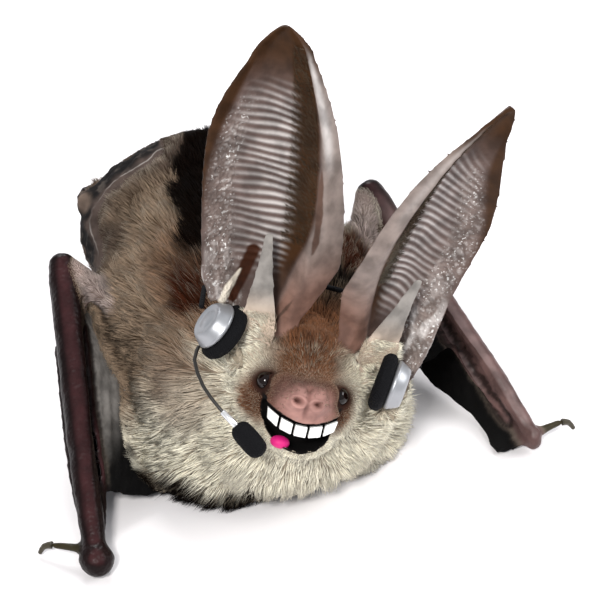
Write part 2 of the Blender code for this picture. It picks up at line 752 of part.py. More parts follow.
def tail_parts(body_cutter, legs):
    """The tail, curled under the rump, and the membrane from it to each shin."""
    points = [Vector(p) * MM for p in TAIL]
    radii = [r * MM for r in (1.4, 1.1, 0.9, 0.7)]
    tail = add_tube("tail", points, radii, "wing_skin", sides=7, steps=2)
    cut_back(tail, body_cutter)
    middle = smooth_path(points, 3)
    clear = 1.25 * MM + GAP
    for side_name, line in legs.items():
        edge = smooth_path(line, 4)
        rows = []
        for k in range(2, 7):
            across = (edge[k] - middle[k]).normalized() * clear
            inner, outer = middle[k] + across, edge[k] - across
            sag = Vector((0, 0.2, -0.1)) * MM
            rows.append([inner.lerp(outer, f / 4) + sag * f * (4 - f) for f in range(5)])
        thick_sheet("tail_membrane_" + side_name, rows, MEMBRANE, "wing_skin")


# ---------------------------------------------------------------- headset


def disc(name, centre, axis, radius, thickness, finish, taper=1.0, sides=16):
    """A round pad with softened edges. The far end along the axis is scaled by the taper."""
    bm = bmesh.new()
    turn = axis.to_track_quat("Z", "Y").to_matrix().to_4x4()
    place = Matrix.Translation(centre) @ turn
    soft = min(0.3 * thickness, 0.25 * radius)
    profile = (
        (radius - soft, -thickness / 2),
        (radius, -thickness / 2 + soft),
        (radius * taper, thickness / 2 - soft),
        (radius * taper - soft, thickness / 2),
    )
    rings = []
    for r, z in profile:
        spin = [2 * math.pi * k / sides for k in range(sides)]
        rings.append([bm.verts.new(place @ Vector((r * math.cos(a), r * math.sin(a), z))) for a in spin])
    for a, b in zip(rings, rings[1:]):
        for k in range(sides):
            bm.faces.new((a[k], a[(k + 1) % sides], b[(k + 1) % sides], b[k]))
    bm.faces.new(rings[0])
    bm.faces.new(rings[-1])
    return add_object(name, bm, finish)


# In the head's frame: centre of each pad and the way it faces out
PADS = {
    "right": ((-10.3, 1.4, 4.4), (-0.87, -0.25, 0.42)),
    "left": ((9.0, 0.2, 2.9), (0.98, -0.15, -0.10)),
}
PAD_RADIUS, PAD_THICK = 3.6 * MM, 1.8 * MM
CUP_RADIUS, CUP_THICK = 3.0 * MM, 1.8 * MM
BAND_RADIUS = 0.35 * MM
BOOM_RADIUS = 0.24 * MM
BAND_POINTS = (
    (-13.4, 3.4, 6.4),
    (-13.2, 8.2, 8.0),
    (-10.6, 11.2, 9.4),
    (-5.0, 12.6, 10.4),
    (0, 12.8, 10.6),
    (5.4, 12.0, 10.5),
    (10.8, 10.4, 8.7),
    (13.2, 7.4, 6.0),
    (13.5, 4.3, 4.8),
)
BOOM_POINTS = (
    (-12.7, 1.3, 2.7),
    (-13.1, -0.4, 0.8),
    (-11.6, -2.4, -1.6),
    (-9.4, -3.8, -3.4),
    (-7.6, -4.4, -4.6),
)
CAPSULE_POINTS = ((-7.2, -4.6, -4.7), (-5.3, -4.9, -6.1), (-3.4, -5.1, -7.5))
CAPSULE_RADII = (0.95 * MM, 1.25 * MM, 1.3 * MM, 1.25 * MM, 1.0 * MM)


def headset(body_cutter, spike_cutters, flap_cutters):
    """A pad and cup at each ear, a wire band behind the ears, and a microphone on a boom. Returns
    cutters that keep the ears clear of the pads and cups."""
    turn = HEAD.to_3x3()
    pad_cutters, cup_cutters = [], []
    for side_name, (centre, axis) in PADS.items():
        axis = (turn @ Vector(axis)).normalized()
        centre = HEAD @ (Vector(centre) * MM)
        name = "ear_pad_" + side_name
        pad = disc(name, centre, axis, PAD_RADIUS, PAD_THICK, "headset_black")
        cut_back(pad, body_cutter, *spike_cutters)
        pad_cutters.append(swollen(pad))
        centre += axis * ((PAD_THICK + CUP_THICK) / 2 + GAP)
        name = "ear_cup_" + side_name
        cup = disc(name, centre, axis, CUP_RADIUS, CUP_THICK, "headset_silver", taper=0.8)
        cut_back(cup, *spike_cutters)
        cup_cutters.append(swollen(cup))

    bm = bmesh.new()
    tube(bm, head_line(BAND_POINTS, 1), [BAND_RADIUS, BAND_RADIUS], sides=6)
    band = add_object("headband", bm, "headset_black")
    cut_back(band, *cup_cutters, body_cutter, *spike_cutters, *flap_cutters)
    bm = bmesh.new()
    tube(bm, head_line(BOOM_POINTS, 2), [BOOM_RADIUS, BOOM_RADIUS], sides=6)
    boom = add_object("mic_boom", bm, "headset_black")
    bm = bmesh.new()
    tube(bm, head_line(CAPSULE_POINTS, 3), CAPSULE_RADII)
    mic = add_object("microphone", bm, "headset_black")
    cut_back(boom, swollen(mic), *cup_cutters, body_cutter)
    cut_back(mic, body_cutter)
    return pad_cutters + cup_cutters


def build():
    clear_scene()
    body = blended_body()
    body_cutter = clean_cutter(body)
    parts = axial_parts(body)
    face_parts(parts["head"], parts["jaw"])
    flaps, flap_cutters = ears()
    spike_cutters = []
    for side_name, spike in tragi().items():
        spike_cutters.append(swollen(spike))
        cut_back(spike, body_cutter, flap_cutters[side_name])
    kit_cutters = headset(body_cutter, spike_cutters, flap_cutters.values())
    cut_back(flaps["left"], body_cutter, flap_cutters["right"], *kit_cutters)
    cut_back(flaps["right"], body_cutter, *kit_cutters)
    legs = {}
    for side_name in SIDES:
        wing(side_name, body_cutter)
        legs[side_name] = leg(side_name, body_cutter)
    tail_parts(body_cutter, legs)


build()
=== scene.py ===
"""The looks of a life-size brown long-eared bat that rests on its wrists and belly, grins and
wears a small headset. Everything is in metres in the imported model's frame: the bat faces -Y, its
left side is +X, and the floor is at z = 0.

One skin takes the place of all flesh nodes. Its masks say what each spot is, such as cream coat,
bare muzzle, ear or wing, and both the skin and the tufts of the coat are coloured from them.

Places and sizes in tables and forms are in millimetres. Those of the face, the ears and the
headset are in the head's own frame, and the others in the model's.
"""

import math

import bmesh
import bpy
import numpy as np
from mathutils import Euler, Matrix, Vector
from mathutils.bvhtree import BVHTree
from mathutils.kdtree import KDTree


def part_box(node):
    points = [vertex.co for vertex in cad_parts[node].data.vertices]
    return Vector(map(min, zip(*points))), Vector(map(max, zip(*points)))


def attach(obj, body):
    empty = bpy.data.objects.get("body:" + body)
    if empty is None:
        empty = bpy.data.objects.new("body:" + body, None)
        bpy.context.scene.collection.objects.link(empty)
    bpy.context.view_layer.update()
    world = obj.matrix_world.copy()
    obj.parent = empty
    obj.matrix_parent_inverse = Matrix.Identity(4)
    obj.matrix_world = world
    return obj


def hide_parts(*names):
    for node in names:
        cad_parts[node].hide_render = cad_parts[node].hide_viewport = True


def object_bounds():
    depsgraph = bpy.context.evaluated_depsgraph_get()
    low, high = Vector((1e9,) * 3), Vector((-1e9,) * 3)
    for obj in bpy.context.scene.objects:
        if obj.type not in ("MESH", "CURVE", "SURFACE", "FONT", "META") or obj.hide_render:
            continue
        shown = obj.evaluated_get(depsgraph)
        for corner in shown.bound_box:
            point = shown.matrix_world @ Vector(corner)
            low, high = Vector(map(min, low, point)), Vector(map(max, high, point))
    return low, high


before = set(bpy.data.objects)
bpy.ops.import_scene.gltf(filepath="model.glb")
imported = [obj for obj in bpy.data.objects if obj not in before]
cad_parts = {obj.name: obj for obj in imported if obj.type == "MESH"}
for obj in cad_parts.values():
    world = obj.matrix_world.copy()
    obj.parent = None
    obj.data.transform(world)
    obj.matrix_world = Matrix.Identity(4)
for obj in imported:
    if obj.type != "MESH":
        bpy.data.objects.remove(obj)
cad_box = [list(corner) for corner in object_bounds()]

MM = 0.001
SIDES = {"right": -1, "left": 1}
WORLD = Matrix.Identity(4)
BOX_LOW, BOX_HIGH = np.array(cad_box)
random = np.random.default_rng(11)

# Nodes that stay pieces of their own or get one; all others are flesh
HARD = ("eye_", "tooth_", "tongue", "thumb_claw_", "ear_pad_", "ear_cup_", "headband", "mic")
FLESH = [name for name in sorted(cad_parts) if not name.startswith(HARD)]

# The head, as in the solids: turned as a whole about the midpoint between the eyes
HEAD_YAW, HEAD_PITCH, HEAD_ROLL = (math.radians(a) for a in (-16, 30, 16))
EYE_DEPTH = 0.35 * MM
EYE_SPREAD = 4.4
MOUTH_HALF, MOUTH_SHIFT = 4.65, 0.2
MOUTH_CORNER, UPPER_LIP, LOWER_LIP = -1.5, -2.95, -6.4
# The left wing's elbow and wrist, and the left foot's ankle and toes, as in the solids
ELBOW, WRIST = (20.7, 15.5, 18.0), (28.4, -20.0, 2.3)
ANKLE, TOES = (4.8, 35.5, 2.6), (5.6, 43.0, 0.8)


# -------- numbers over many points


def ramp(low, high, x):
    """Rises smoothly from 0 at low to 1 at high, or falls where low is the larger."""
    t = np.clip((np.asarray(x) - low) / (high - low), 0, 1)
    return t * t * (3 - 2 * t)


def unit(v):
    return v / np.maximum(np.linalg.norm(v, axis=-1, keepdims=True), 1e-12)


def blend_values(values, t):
    """The values at t from 0 to 1 on a smooth curve through evenly spaced ones."""
    v = np.asarray(values, float)
    at = np.clip(t, 0, 1) * (len(v) - 1)
    i = np.minimum(at.astype(int), len(v) - 2)
    f = at - i
    b, c = v[i], v[i + 1]
    a = np.where(i > 0, v[np.maximum(i - 1, 0)], 2 * b - c)
    d = np.where(i + 2 < len(v), v[np.minimum(i + 2, len(v) - 1)], 2 * c - b)
    bend = (2 * a - 5 * b + 4 * c - d) * f + (3 * b - 3 * c + d - a) * f * f
    return b + 0.5 * f * (c - a + bend)


def in_ball(points, centre, radii, soft=0.5):
    """1 inside an ellipsoid and 0 outside it, blending over a share of its radii."""
    far = np.linalg.norm((points - np.array(centre)) / np.array(radii), axis=1)
    return 1 - ramp(1 - soft, 1 + soft, far)


def wavy(points, size, seed=0):
    """Smooth noise from -1 to 1, made of waves in several directions."""
    draw = np.random.default_rng(seed)
    total = np.zeros(len(points))
    waves = 9
    for _ in range(waves):
        way = unit(draw.normal(size=3)) * draw.uniform(0.6, 1.6) * 2 * math.pi / size
        total += np.sin(points @ way + draw.uniform(0, 2 * math.pi))
    return total / math.sqrt(waves)


# -------- the head's frame


def eyes_middle():
    corners = [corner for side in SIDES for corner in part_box("eye_" + side)]
    return sum(corners, Vector()) / len(corners)


HEAD_TURN = Euler((-HEAD_PITCH, HEAD_ROLL, HEAD_YAW), "YXZ").to_matrix()
HEAD_AXES = np.array(HEAD_TURN)
HEAD_ORIGIN = np.array(eyes_middle()) - HEAD_AXES @ np.array((0, EYE_DEPTH, 0))
HEAD = Matrix.Translation(Vector(HEAD_ORIGIN)) @ HEAD_TURN.to_4x4()


def in_head(points):
    """Points in the head's frame and in millimetres: x to its left, y backward, z up."""
    return (points - HEAD_ORIGIN) @ HEAD_AXES / MM


# -------- camera, light and floor

CAMERA_PLACE = (-75.48, -204.68, 200.16)
CAMERA_TURN, CAMERA_RISE = math.radians(-21.5), math.radians(40)
LENS, SENSOR = 137.56, 36
LIGHTS = {  # place and size in metres, power and colour
    "key": ((-0.22, -0.30, 0.42), 0.10, 2.6, (1, 0.98, 0.95)),
    "fill": ((0.35, -0.15, 0.30), 0.25, 1.4, (1, 1, 1)),
    "rim": ((0.05, 0.35, 0.35), 0.20, 1.6, (1, 1, 1)),
}
LIGHT_AIM = (0, 0, 0.02)
SKY_COLOUR, SKY_STRENGTH = (0.93, 0.95, 1.0, 1), 0.55
FLOOR_COLOUR, FLOOR_HALF = (0.80, 0.78, 0.79), 2.0


def linked(name, data):
    """A new object of the scene for a mesh, a lamp or a camera."""
    obj = bpy.data.objects.new(name, data)
    bpy.context.scene.collection.objects.link(obj)
    return obj


def aim(obj, place, way):
    """Puts a lamp or the camera at a place, looking one way."""
    obj.location = place
    obj.rotation_mode = "QUATERNION"
    obj.rotation_quaternion = way.to_track_quat("-Z", "Y")


def add_camera():
    """Looks down at the bat from in front and a little to its right."""
    flat = math.cos(CAMERA_RISE)
    ahead = (-math.sin(CAMERA_TURN) * flat, math.cos(CAMERA_TURN) * flat, -math.sin(CAMERA_RISE))
    data = bpy.data.cameras.new("camera")
    data.sensor_width = SENSOR
    data.lens = LENS
    data.clip_start = 0.01
    camera = linked("camera", data)
    aim(camera, Vector(CAMERA_PLACE) * MM, Vector(ahead))
    bpy.context.scene.camera = camera


def add_studio():
    world = bpy.data.worlds.new("studio")
    world.use_nodes = True
    sky = world.node_tree.nodes["Background"]
    sky.inputs["Color"].default_value = SKY_COLOUR
    sky.inputs["Strength"].default_value = SKY_STRENGTH
    bpy.context.scene.world = world
    bpy.context.scene.view_settings.view_transform = "Standard"
    for name, (place, size, power, colour) in LIGHTS.items():
        data = bpy.data.lights.new(name, "AREA")
        data.size = size
        data.energy = power
        data.color = colour
        aim(linked(name, data), place, Vector(LIGHT_AIM) - Vector(place))
    mesh = bpy.data.meshes.new("floor")
    around = ((-1, -1), (1, -1), (1, 1), (-1, 1))
    corners = [(x * FLOOR_HALF, y * FLOOR_HALF, 0) for x, y in around]
    mesh.from_pydata(corners, [], [(0, 1, 2, 3)])
    mesh.materials.append(plain("pale_floor", FLOOR_COLOUR, 0.6))
    floor = linked("floor", mesh)


# -------- materials


class Nodes:
    """Short ways to add and join shader nodes. A value may be a number, a colour, a node's
    output or the name of a mask of the mesh."""

    def __init__(self, name):
        self.material = bpy.data.materials.new(name)
        self.material.use_nodes = True
        self.tree = self.material.node_tree
        self.shader = self.tree.nodes["Principled BSDF"]

    def put(self, value, socket):
        if isinstance(value, str):
            value = self.add("Attribute", {}, "Fac", attribute_name=value)
        if isinstance(value, bpy.types.NodeSocket):
            self.tree.links.new(value, socket)
        elif isinstance(value, tuple):
            socket.default_value = (*value, 1)
        else:
            socket.default_value = value

    def add(self, kind, inputs, output=0, **settings):
        """One output of a new node with these settings and inputs."""
        node = self.tree.nodes.new("ShaderNode" + kind)
        for name, value in settings.items():
            setattr(node, name, value)
        for socket, value in inputs.items():
            self.put(value, node.inputs[socket])
        return node.outputs[output]

    def times(self, a, b):
        return self.add("Math", {0: a, 1: b}, operation="MULTIPLY")

    def mix(self, factor, a, b, blend="MIX"):
        inputs = {"Factor": factor, 6: a, 7: b}
        return self.add("Mix", inputs, 2, data_type="RGBA", blend_type=blend)

    def tint(self, colour, by):
        return self.mix(1.0, colour, by, "MULTIPLY")

    def between(self, value, low, high, to_low=0.0, to_high=1.0):
        """Maps low to high onto to_low to to_high, smoothly and held at the ends."""
        inputs = dict(enumerate((value, low, high, to_low, to_high)))
        return self.add("MapRange", inputs, interpolation_type="SMOOTHSTEP")

    def noise(self, scale, detail):
        place = self.add("TexCoord", {}, "Object")
        return self.add("TexNoise", {"Vector": place, "Scale": scale, "Detail": detail}, "Fac")

    def cells(self, scale, feature="F1"):
        inputs = {"Vector": self.add("TexCoord", {}, "Object"), "Scale": scale}
        return self.add("TexVoronoi", inputs, "Distance", feature=feature)

    def bump(self, height, distance, strength, **under):
        inputs = {"Height": height, "Distance": distance, "Strength": strength}
        return self.add("Bump", inputs | under)

    def finish(self, **sockets):
        """Sets the shader's sockets by name, with _ for a space."""
        for name, value in sockets.items():
            self.put(value, self.shader.inputs[name.replace("_", " ")])
        return self.material


def plain(name, colour, roughness, metallic=0.0):
    """A material of one colour."""
    return Nodes(name).finish(Base_Color=colour, Roughness=roughness, Metallic=metallic)


# -------- meshes as arrays


def values_of(items, field, width=3, kind=float):
    """One field of all of a mesh's items, in rows."""
    values = np.empty(len(items) * width, kind)
    items.foreach_get(field, values)
    return values.reshape(-1, width)


def set_corners(mesh, corners):
    mesh.vertices.foreach_set("co", corners.ravel())
    mesh.update()


def set_floats(mesh, name, values):
    attribute = mesh.attributes.new(name, "FLOAT", "POINT")
    attribute.data.foreach_set("value", np.asarray(values, np.float32))


def mesh_of(bm, name):
    """Turns a bmesh into a mesh and frees it."""
    mesh = bpy.data.meshes.new(name)
    bm.to_mesh(mesh)
    bm.free()
    return mesh


def add_piece(name, mesh, material):
    """Links a mesh or a bmesh as a piece of the bat."""
    if isinstance(mesh, bmesh.types.BMesh):
        mesh = mesh_of(mesh, name)
    mesh.shade_smooth()
    mesh.materials.clear()
    mesh.materials.append(material)
    piece = linked(name, mesh)
    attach(piece, "root")
    return piece


def welded(node):
    """A bmesh of a node with its split corners joined."""
    bm = bmesh.new()
    bm.from_mesh(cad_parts[node].data)
    bmesh.ops.remove_doubles(bm, verts=bm.verts, dist=1e-6)
    bm.normal_update()
    return bm


class Edges:
    """The edges of a mesh, for averaging values over neighbours."""

    def __init__(self, mesh):
        pairs = values_of(mesh.edges, "vertices", 2, int)
        self.a, self.b = pairs.T
        self.count = len(mesh.vertices)
        self.degree = np.maximum(np.bincount(pairs.ravel(), minlength=self.count), 1)

    def mean(self, values):
        if values.ndim == 1:
            total = np.bincount(self.a, values[self.b], self.count)
            total += np.bincount(self.b, values[self.a], self.count)
            return total / self.degree
        return np.stack([self.mean(column) for column in values.T], axis=1)

    def smooth(self, values, rounds, strength=0.5):
        """Moves each value towards its neighbours' mean; strength may differ by vertex."""
        amount = np.asarray(strength)
        if values.ndim == 2 and amount.ndim == 1:
            amount = amount[:, None]
        for _ in range(rounds):
            values = values + (self.mean(values) - values) * amount
        return values


# -------- ears, as in the solids

# For each ear: the middle of its root, the way it points, the way its hollow side faces at the
# root and above, how far its inner root stands above its outer one, its half width from root to
# tip, how far inward its middle stands off the line from root to tip, and how high its keel
# stands in half widths. Then how steeply its ribs sink towards the inner edge, how crumpled its
# root is and how bright the painted highlight streak near its tip is.
EARS = {
    "right": {
        "root": (-5.4, 5.0, 5.6),
        "points": (-0.174, -0.200, 0.964),
        "facing_root": (-0.12, -0.98, 0.15),
        "facing": (-0.12, -0.98, 0.15),
        "root_step": 3.0,
        "outline": (0.40, 0.94, 1.0, 1.03, 1.02, 0.985, 0.91, 0.73, 0.47),
        "bow": (0.0, 0.25, 0.2, 0.1, -0.1, -0.4, -0.6, -0.5, -0.1, 0.0),
        "keel": 0.26,
        "slant": 0.2,
        "crumpled": 0.5,
        "highlight_streak": 1.0,
    },
    "left": {
        "root": (6.8, 4.6, 4.4),
        "points": (0.212, -0.345, 0.914),
        "facing_root": (0.25, -0.95, 0.1),
        "facing": (0.66, -0.75, 0.0),
        "root_step": 3.5,
        "outline": (0.50, 0.80, 0.84, 0.94, 1.01, 0.98, 0.83, 0.59, 0.30),
        "bow": (0.0, 0.5, 1.0, 1.5, 1.7, 1.65, 1.9, 2.0, 1.4, 0.0),
        "keel": 0.10,
        "slant": -0.35,
        "crumpled": 1.0,
        "highlight_streak": 0.35,
    },
}
EAR_LENGTH, EAR_HALF_WIDTH = 36.5 * MM, 8.1 * MM
TIP_START = 0.89
KEEL_ACROSS = (0.20, 0.38, 0.52, 0.60, 0.65, 0.70, 0.74, 0.77, 0.78, 0.76)
# How far forward the sheet stands in half widths: in its trough, on its outer rim, at its
# inner edge, and all of it from root to tip
TROUGH, RIM, EDGE = -0.15, 0.25, -0.05
FLATTER = (1.0, 1.0, 1.0, 0.9, 0.3)
RIB_SPACING = 0.93 * MM
RIB_HEIGHT, BEAD_HEIGHT, GROOVE_DEPTH, FOLD_HEIGHT = 0.17, 0.06, 0.12, 0.18


def ear_half_width(outline, u):
    low = blend_values(outline, np.clip(u, 0, None) / TIP_START)
    t = np.clip((u - TIP_START) / (1 - TIP_START), 0, 1)
    tip = np.maximum(outline[-1] * (1 - t**1.6) ** 0.9, 0.035)
    return EAR_HALF_WIDTH * np.where(u <= TIP_START, low, tip)


def ear_depth(crest, u, v):
    """How far the ear's sheet stands forward at u along it and v across, in half widths, where
    its keel stands as high as the crest."""
    keel = blend_values(KEEL_ACROSS, u)
    outer = RIM + (TROUGH - RIM) * np.sin((v + 1) / 0.8 * math.pi / 2)
    rise = TROUGH + (crest - TROUGH) * ((v + 0.2) / (keel + 0.2)) ** 3
    fall = crest + (EDGE - crest) * (v - keel) / (1 - keel)
    depth = np.where(v < -0.2, outer, np.where(v < keel, rise, fall))
    depth = depth * blend_values(FLATTER, u)
    curl = np.clip(1 - u / 0.3, 0, None) ** 2
    return depth + curl * (0.45 * np.clip(-v - 0.35, 0, None) + 0.1 * np.clip(v, 0, None))


def ear_places(side_name, points):
    """For points near an ear: u along it, v across it from -1 at its outer edge to 1 at its
    inner one, and how far in front of its middle sheet they lie."""
    ear = EARS[side_name]
    along = unit(np.array(ear["points"]))
    local = (points - HEAD_ORIGIN) @ HEAD_AXES - np.array(ear["root"]) * MM
    rise = local @ along
    u = rise / EAR_LENGTH
    for _ in range(5):
        turn = ramp(0, 0.45, u)[:, None]
        facing = np.array(ear["facing_root"]) * (1 - turn) + np.array(ear["facing"]) * turn
        facing = unit(facing - (facing @ along)[:, None] * along)
        inward = np.cross(facing, along) * SIDES[side_name]
        bow = blend_values(ear["bow"], u) * MM
        v = ((local * inward).sum(axis=1) - bow) / ear_half_width(ear["outline"], u)
        step = ear["root_step"] * MM * np.clip(np.maximum(v, 0.3 * v), -1.2, 1.2)
        step = step * np.clip(1 - np.clip(u, 0, None) / 0.4, 0, None) ** 2
        u = (rise - step) / EAR_LENGTH
    depth = ear_depth(ear["keel"], u, np.clip(v, -1, 1))
    return u, v, (local * facing).sum(axis=1) - depth * EAR_HALF_WIDTH


def ear_marks(side_name, u, v):
    """What the hollow side of an ear looks like, as masks from 0 to 1, and its relief in
    millimetres: cross ribs, a grainy outer strip, a dark groove beside the keel and a pale
    inner strip. Painted highlights lie on the ribs' crests, the grain, the crumpled root and a
    streak near the tip."""
    ear = EARS[side_name]
    seed = 10 * (SIDES[side_name] + 2)
    keel = blend_values(KEEL_ACROSS, u)
    place = np.stack([u * EAR_LENGTH, v * EAR_HALF_WIDTH, np.full(len(u), seed)], axis=1) / MM
    slant = ear["slant"] * v * EAR_HALF_WIDTH
    phase = (u * EAR_LENGTH + slant) / RIB_SPACING + 0.22 * wavy(place, 8, seed)
    crest = (0.5 + 0.5 * np.cos(2 * math.pi * phase)) ** 1.8
    ribbed = ramp(-0.72, -0.45, v) * ramp(keel - 0.3, keel - 0.52, v)
    ribbed *= ramp(0.12, 0.3, u) * ramp(0.84, 0.7, u)
    middle = -0.72 + 0.25 * ramp(0.45, 0.8, u)
    outer = ramp(0.24, 0.1, np.abs(v - middle)) * ramp(0.0, 0.15, u)
    grain = outer * ramp(0.82, 0.6, u)
    inside = keel - 0.2 * ramp(0.42, 0.15, u)
    groove = ramp(keel - 0.56, keel - 0.36, v) * ramp(inside, inside - 0.1, v)
    groove *= ramp(0.0, 0.25, u) * ramp(1.0, 0.85, u)
    inner = ramp(inside - 0.08, inside + 0.05, v) * ramp(0.98, 0.8, u)
    edge = ramp(middle - 0.1, middle - 0.28, v) * ramp(0.3, 0.5, u)
    tip = np.maximum(ramp(0.74, 0.92, u), edge)
    beads = wavy(place, 1.1, seed + 1) * wavy(place, 0.8, seed + 2)
    folds = ramp(0.42, 0.1, u) * ramp(-0.3, -0.55, v) * ear["crumpled"]
    crumple = wavy(place * np.array((0.45, 1.0, 1.0)), 1.7, seed + 3)
    relief = RIB_HEIGHT * ribbed * (crest - 0.5) + BEAD_HEIGHT * grain * beads
    relief = relief - GROOVE_DEPTH * groove + FOLD_HEIGHT * folds * np.maximum(crumple, -0.3)
    # painted highlights on the ribs' crests, stronger towards the inner side, and on the grain's
    # beads and the crumpled folds
    lit = ribbed * crest * (0.45 + 0.55 * ramp(-0.55, 0.05, v))
    lit = np.maximum(lit, 0.45 * grain * ramp(-0.1, 0.8, beads))
    lit = np.maximum(lit, 1.1 * folds * ramp(-0.1, 0.9, crumple))
    # a painted highlight streak along the pale inner strip near the tip
    streak = np.exp(-(((v - keel - 0.45 * (1 - keel)) / 0.07) ** 2))
    streak = streak * ramp(0.50, 0.64, u) * ramp(0.95, 0.85, u) * ear["highlight_streak"]
    return {
        "ear_highlight": np.clip(np.maximum(lit, streak), 0, 1),
        "ear_dark": np.clip(groove + 0.95 * tip, 0, 1),
        "ear_groove": groove,
        "ear_pale": np.clip(inner + 0.35 * grain + 0.5 * folds, 0, 1),
        "ear_grain": np.clip(grain + 0.6 * folds, 0, 1),
        "ear_low": inner * ramp(0.35, 0.05, u),
    }, relief


# -------- forms of flesh

# Flesh that joins each tragus to the cheek, as centres and radii
TRAGUS_ROOTS = (
    ((-5.3, 2.1, 3.7), 1.5), ((-7.6, 2.1, 3.9), 1.5), ((-6.4, 1.7, 4.6), 1.3),
    ((-6.3, 2.6, 1.9), 2.0), ((-6.6, 1.3, 6.6), 0.7),
    ((6.5, 1.9, 3.6), 1.4), ((8.2, 1.8, 3.9), 1.4), ((7.3, 2.4, 1.9), 1.9),
)
# Where each thumb ends and its claw starts, as in the solids
CLAW_ROOTS = ((-32.3, -15.5, 1.7), (33.0, -18.4, 1.8))
# The knob of the rump's fold, and skin that closes the wings' roots below the elbows
KNOB = (-15.0, 24.7, 19.3)
BODY_BALLS = (
    ((-14.0, 25.7, 18.6), 2.1),
    ((-19.6, 11.2, 14.4), 0.9), ((-19.9, 10.2, 14.3), 0.9), ((-20.3, 9.0, 14.2), 0.9),
    ((-20.7, 7.8, 13.9), 0.9), ((18.9, 9.0, 15.4), 0.9), ((19.2, 7.8, 14.6), 0.9),
    ((20.2, 8.8, 15.0), 0.95),
)
# A fold at the outer root of the right ear, and a line of painted shadow beside it
EAR_FOLD = ((-11.2, 2.8, 7.6), (-10.5, 3.6, 9.6), (-9.8, 4.2, 11.6))
EAR_FOLD_SHADOW = ((-10.0, 4.0, 8.4), (-9.4, 4.4, 11.3), (-8.9, 4.2, 14.2))
LIP_FRONT, LIP_THICKNESS = -5.75, 0.34
EYELID_RADIUS, EYELID_THICKNESS, EYELID_SQUEEZE = 1.12, 0.33, 0.85
TOE_SPREADS = (-1, -0.5, 0, 0.5, 1)


def add_sphere(bm, centre, radius, detail, axes=WORLD):
    """Adds a ball."""
    place = axes @ Matrix.Translation(Vector(centre) * MM)
    bmesh.ops.create_icosphere(bm, subdivisions=detail, radius=radius * MM, matrix=place)


def add_ball(bm, centre, radii, detail=4):
    """Adds an ellipsoid along the head's axes."""
    scale = Matrix.Diagonal((*(Vector(radii) * MM), 1))
    place = HEAD @ Matrix.Translation(Vector(centre) * MM) @ scale
    bmesh.ops.create_icosphere(bm, subdivisions=detail, radius=1, matrix=place)


def angles(sides):
    return [2 * math.pi * k / sides for k in range(sides)]


def add_eyelids(bm, centre, axis, sides=10):
    """Adds a ring of flesh round an eye's axis."""
    turn = Vector(axis).to_track_quat("Z", "Y").to_matrix()
    rings = []
    for a in angles(24):
        out = Vector((math.cos(a), math.sin(a) * EYELID_SQUEEZE, 0))
        ring = []
        for b in angles(sides):
            spot = out * (EYELID_RADIUS + EYELID_THICKNESS * math.cos(b))
            spot.z = EYELID_THICKNESS * math.sin(b)
            ring.append(bm.verts.new(HEAD @ ((Vector(centre) + turn @ spot) * MM)))
        rings.append(ring)
    for a, b in zip(rings, rings[1:] + rings[:1]):
        for k in range(sides):
            n = (k + 1) % sides
            bm.faces.new((a[k], b[k], b[n], a[n]))


def add_tube(bm, points, radii, axes=HEAD):
    """Adds a round tube of flesh through points, with rounded ends."""
    points = [Vector(p) for p in points]
    for (a, b), (r, q) in zip(zip(points, points[1:]), zip(radii, radii[1:])):
        for k in range(5):
            add_sphere(bm, a.lerp(b, k / 4), r + (q - r) * k / 4, 2, axes)


def add_rings(bm, rings, sides, axes=HEAD):
    """Adds a closed solid through round rings, each a middle, a turn and a radius."""
    ways = [Vector((math.cos(a), math.sin(a), 0)) for a in angles(sides)]
    loops = []
    for middle, turn, radius in rings:
        spots = [middle + turn @ way * radius for way in ways]
        loops.append([bm.verts.new(axes @ (spot * MM)) for spot in spots])
    for a, b in zip(loops, loops[1:]):
        for k in range(sides):
            n = (k + 1) % sides
            bm.faces.new((a[k], a[n], b[n], b[k]))
    bm.faces.new(loops[0][::-1])
    bm.faces.new(loops[-1])


def add_rod(bm, points, radii, sides, axes=HEAD):
    """Adds a closed rod through points, as thick as the radii say."""
    points = [Vector(p) for p in points]
    ways = [b - a for a, b in zip(points[:1] + points, points[1:] + points[-1:])]
    turns = [way.to_track_quat("Z", "Y").to_matrix() for way in ways]
    add_rings(bm, zip(points, turns, radii), sides, axes)


def lip_heights(x):
    """The heights of both lips at x across the mouth, as in the solids."""
    t = np.clip((x - MOUTH_SHIFT) / MOUTH_HALF, -1, 1)
    upper = MOUTH_CORNER + (UPPER_LIP - MOUTH_CORNER) * (1 - t**2)
    lower = MOUTH_CORNER + (LOWER_LIP - MOUTH_CORNER) * np.sqrt(1 - t**2)
    return upper, lower


def lip_front(x):
    """How far forward the lips stand at x across the mouth."""
    return LIP_FRONT + 2.9 * ((x - MOUTH_SHIFT) / MOUTH_HALF) ** 2


def face_forms(bm):
    """Rounded forms of the muzzle, which the solids give only roughly."""
    add_ball(bm, (0, -1.2, -0.6), (3.9, 4.9, 2.45))
    for side in SIDES.values():
        add_ball(bm, (1.5 * side, -4.5, -0.6), (1.85, 2.0, 1.6))
        add_ball(bm, (2.6 * side, -1.9, 0.3), (1.7, 2.6, 1.9))
        add_ball(bm, (1.25 * side + 0.1, -4.3, 1.0), (1.15, 1.5, 0.9))
        add_ball(bm, (1.05 * side + 0.15, -5.35, -0.25), (0.95, 0.95, 0.95))
        eye = np.array((EYE_SPREAD * side, EYE_DEPTH / MM, 0))
        add_eyelids(bm, eye + np.array((0.45 * side, -0.35, 0.12)), (0.8 * side, -0.55, 0.2))
    spots = np.linspace(-0.96, 0.96, 13) * MOUTH_HALF + MOUTH_SHIFT
    lip = [(x, lip_front(x), lip_heights(x)[0] + 0.12) for x in spots]
    add_tube(bm, lip, [LIP_THICKNESS] * len(lip))


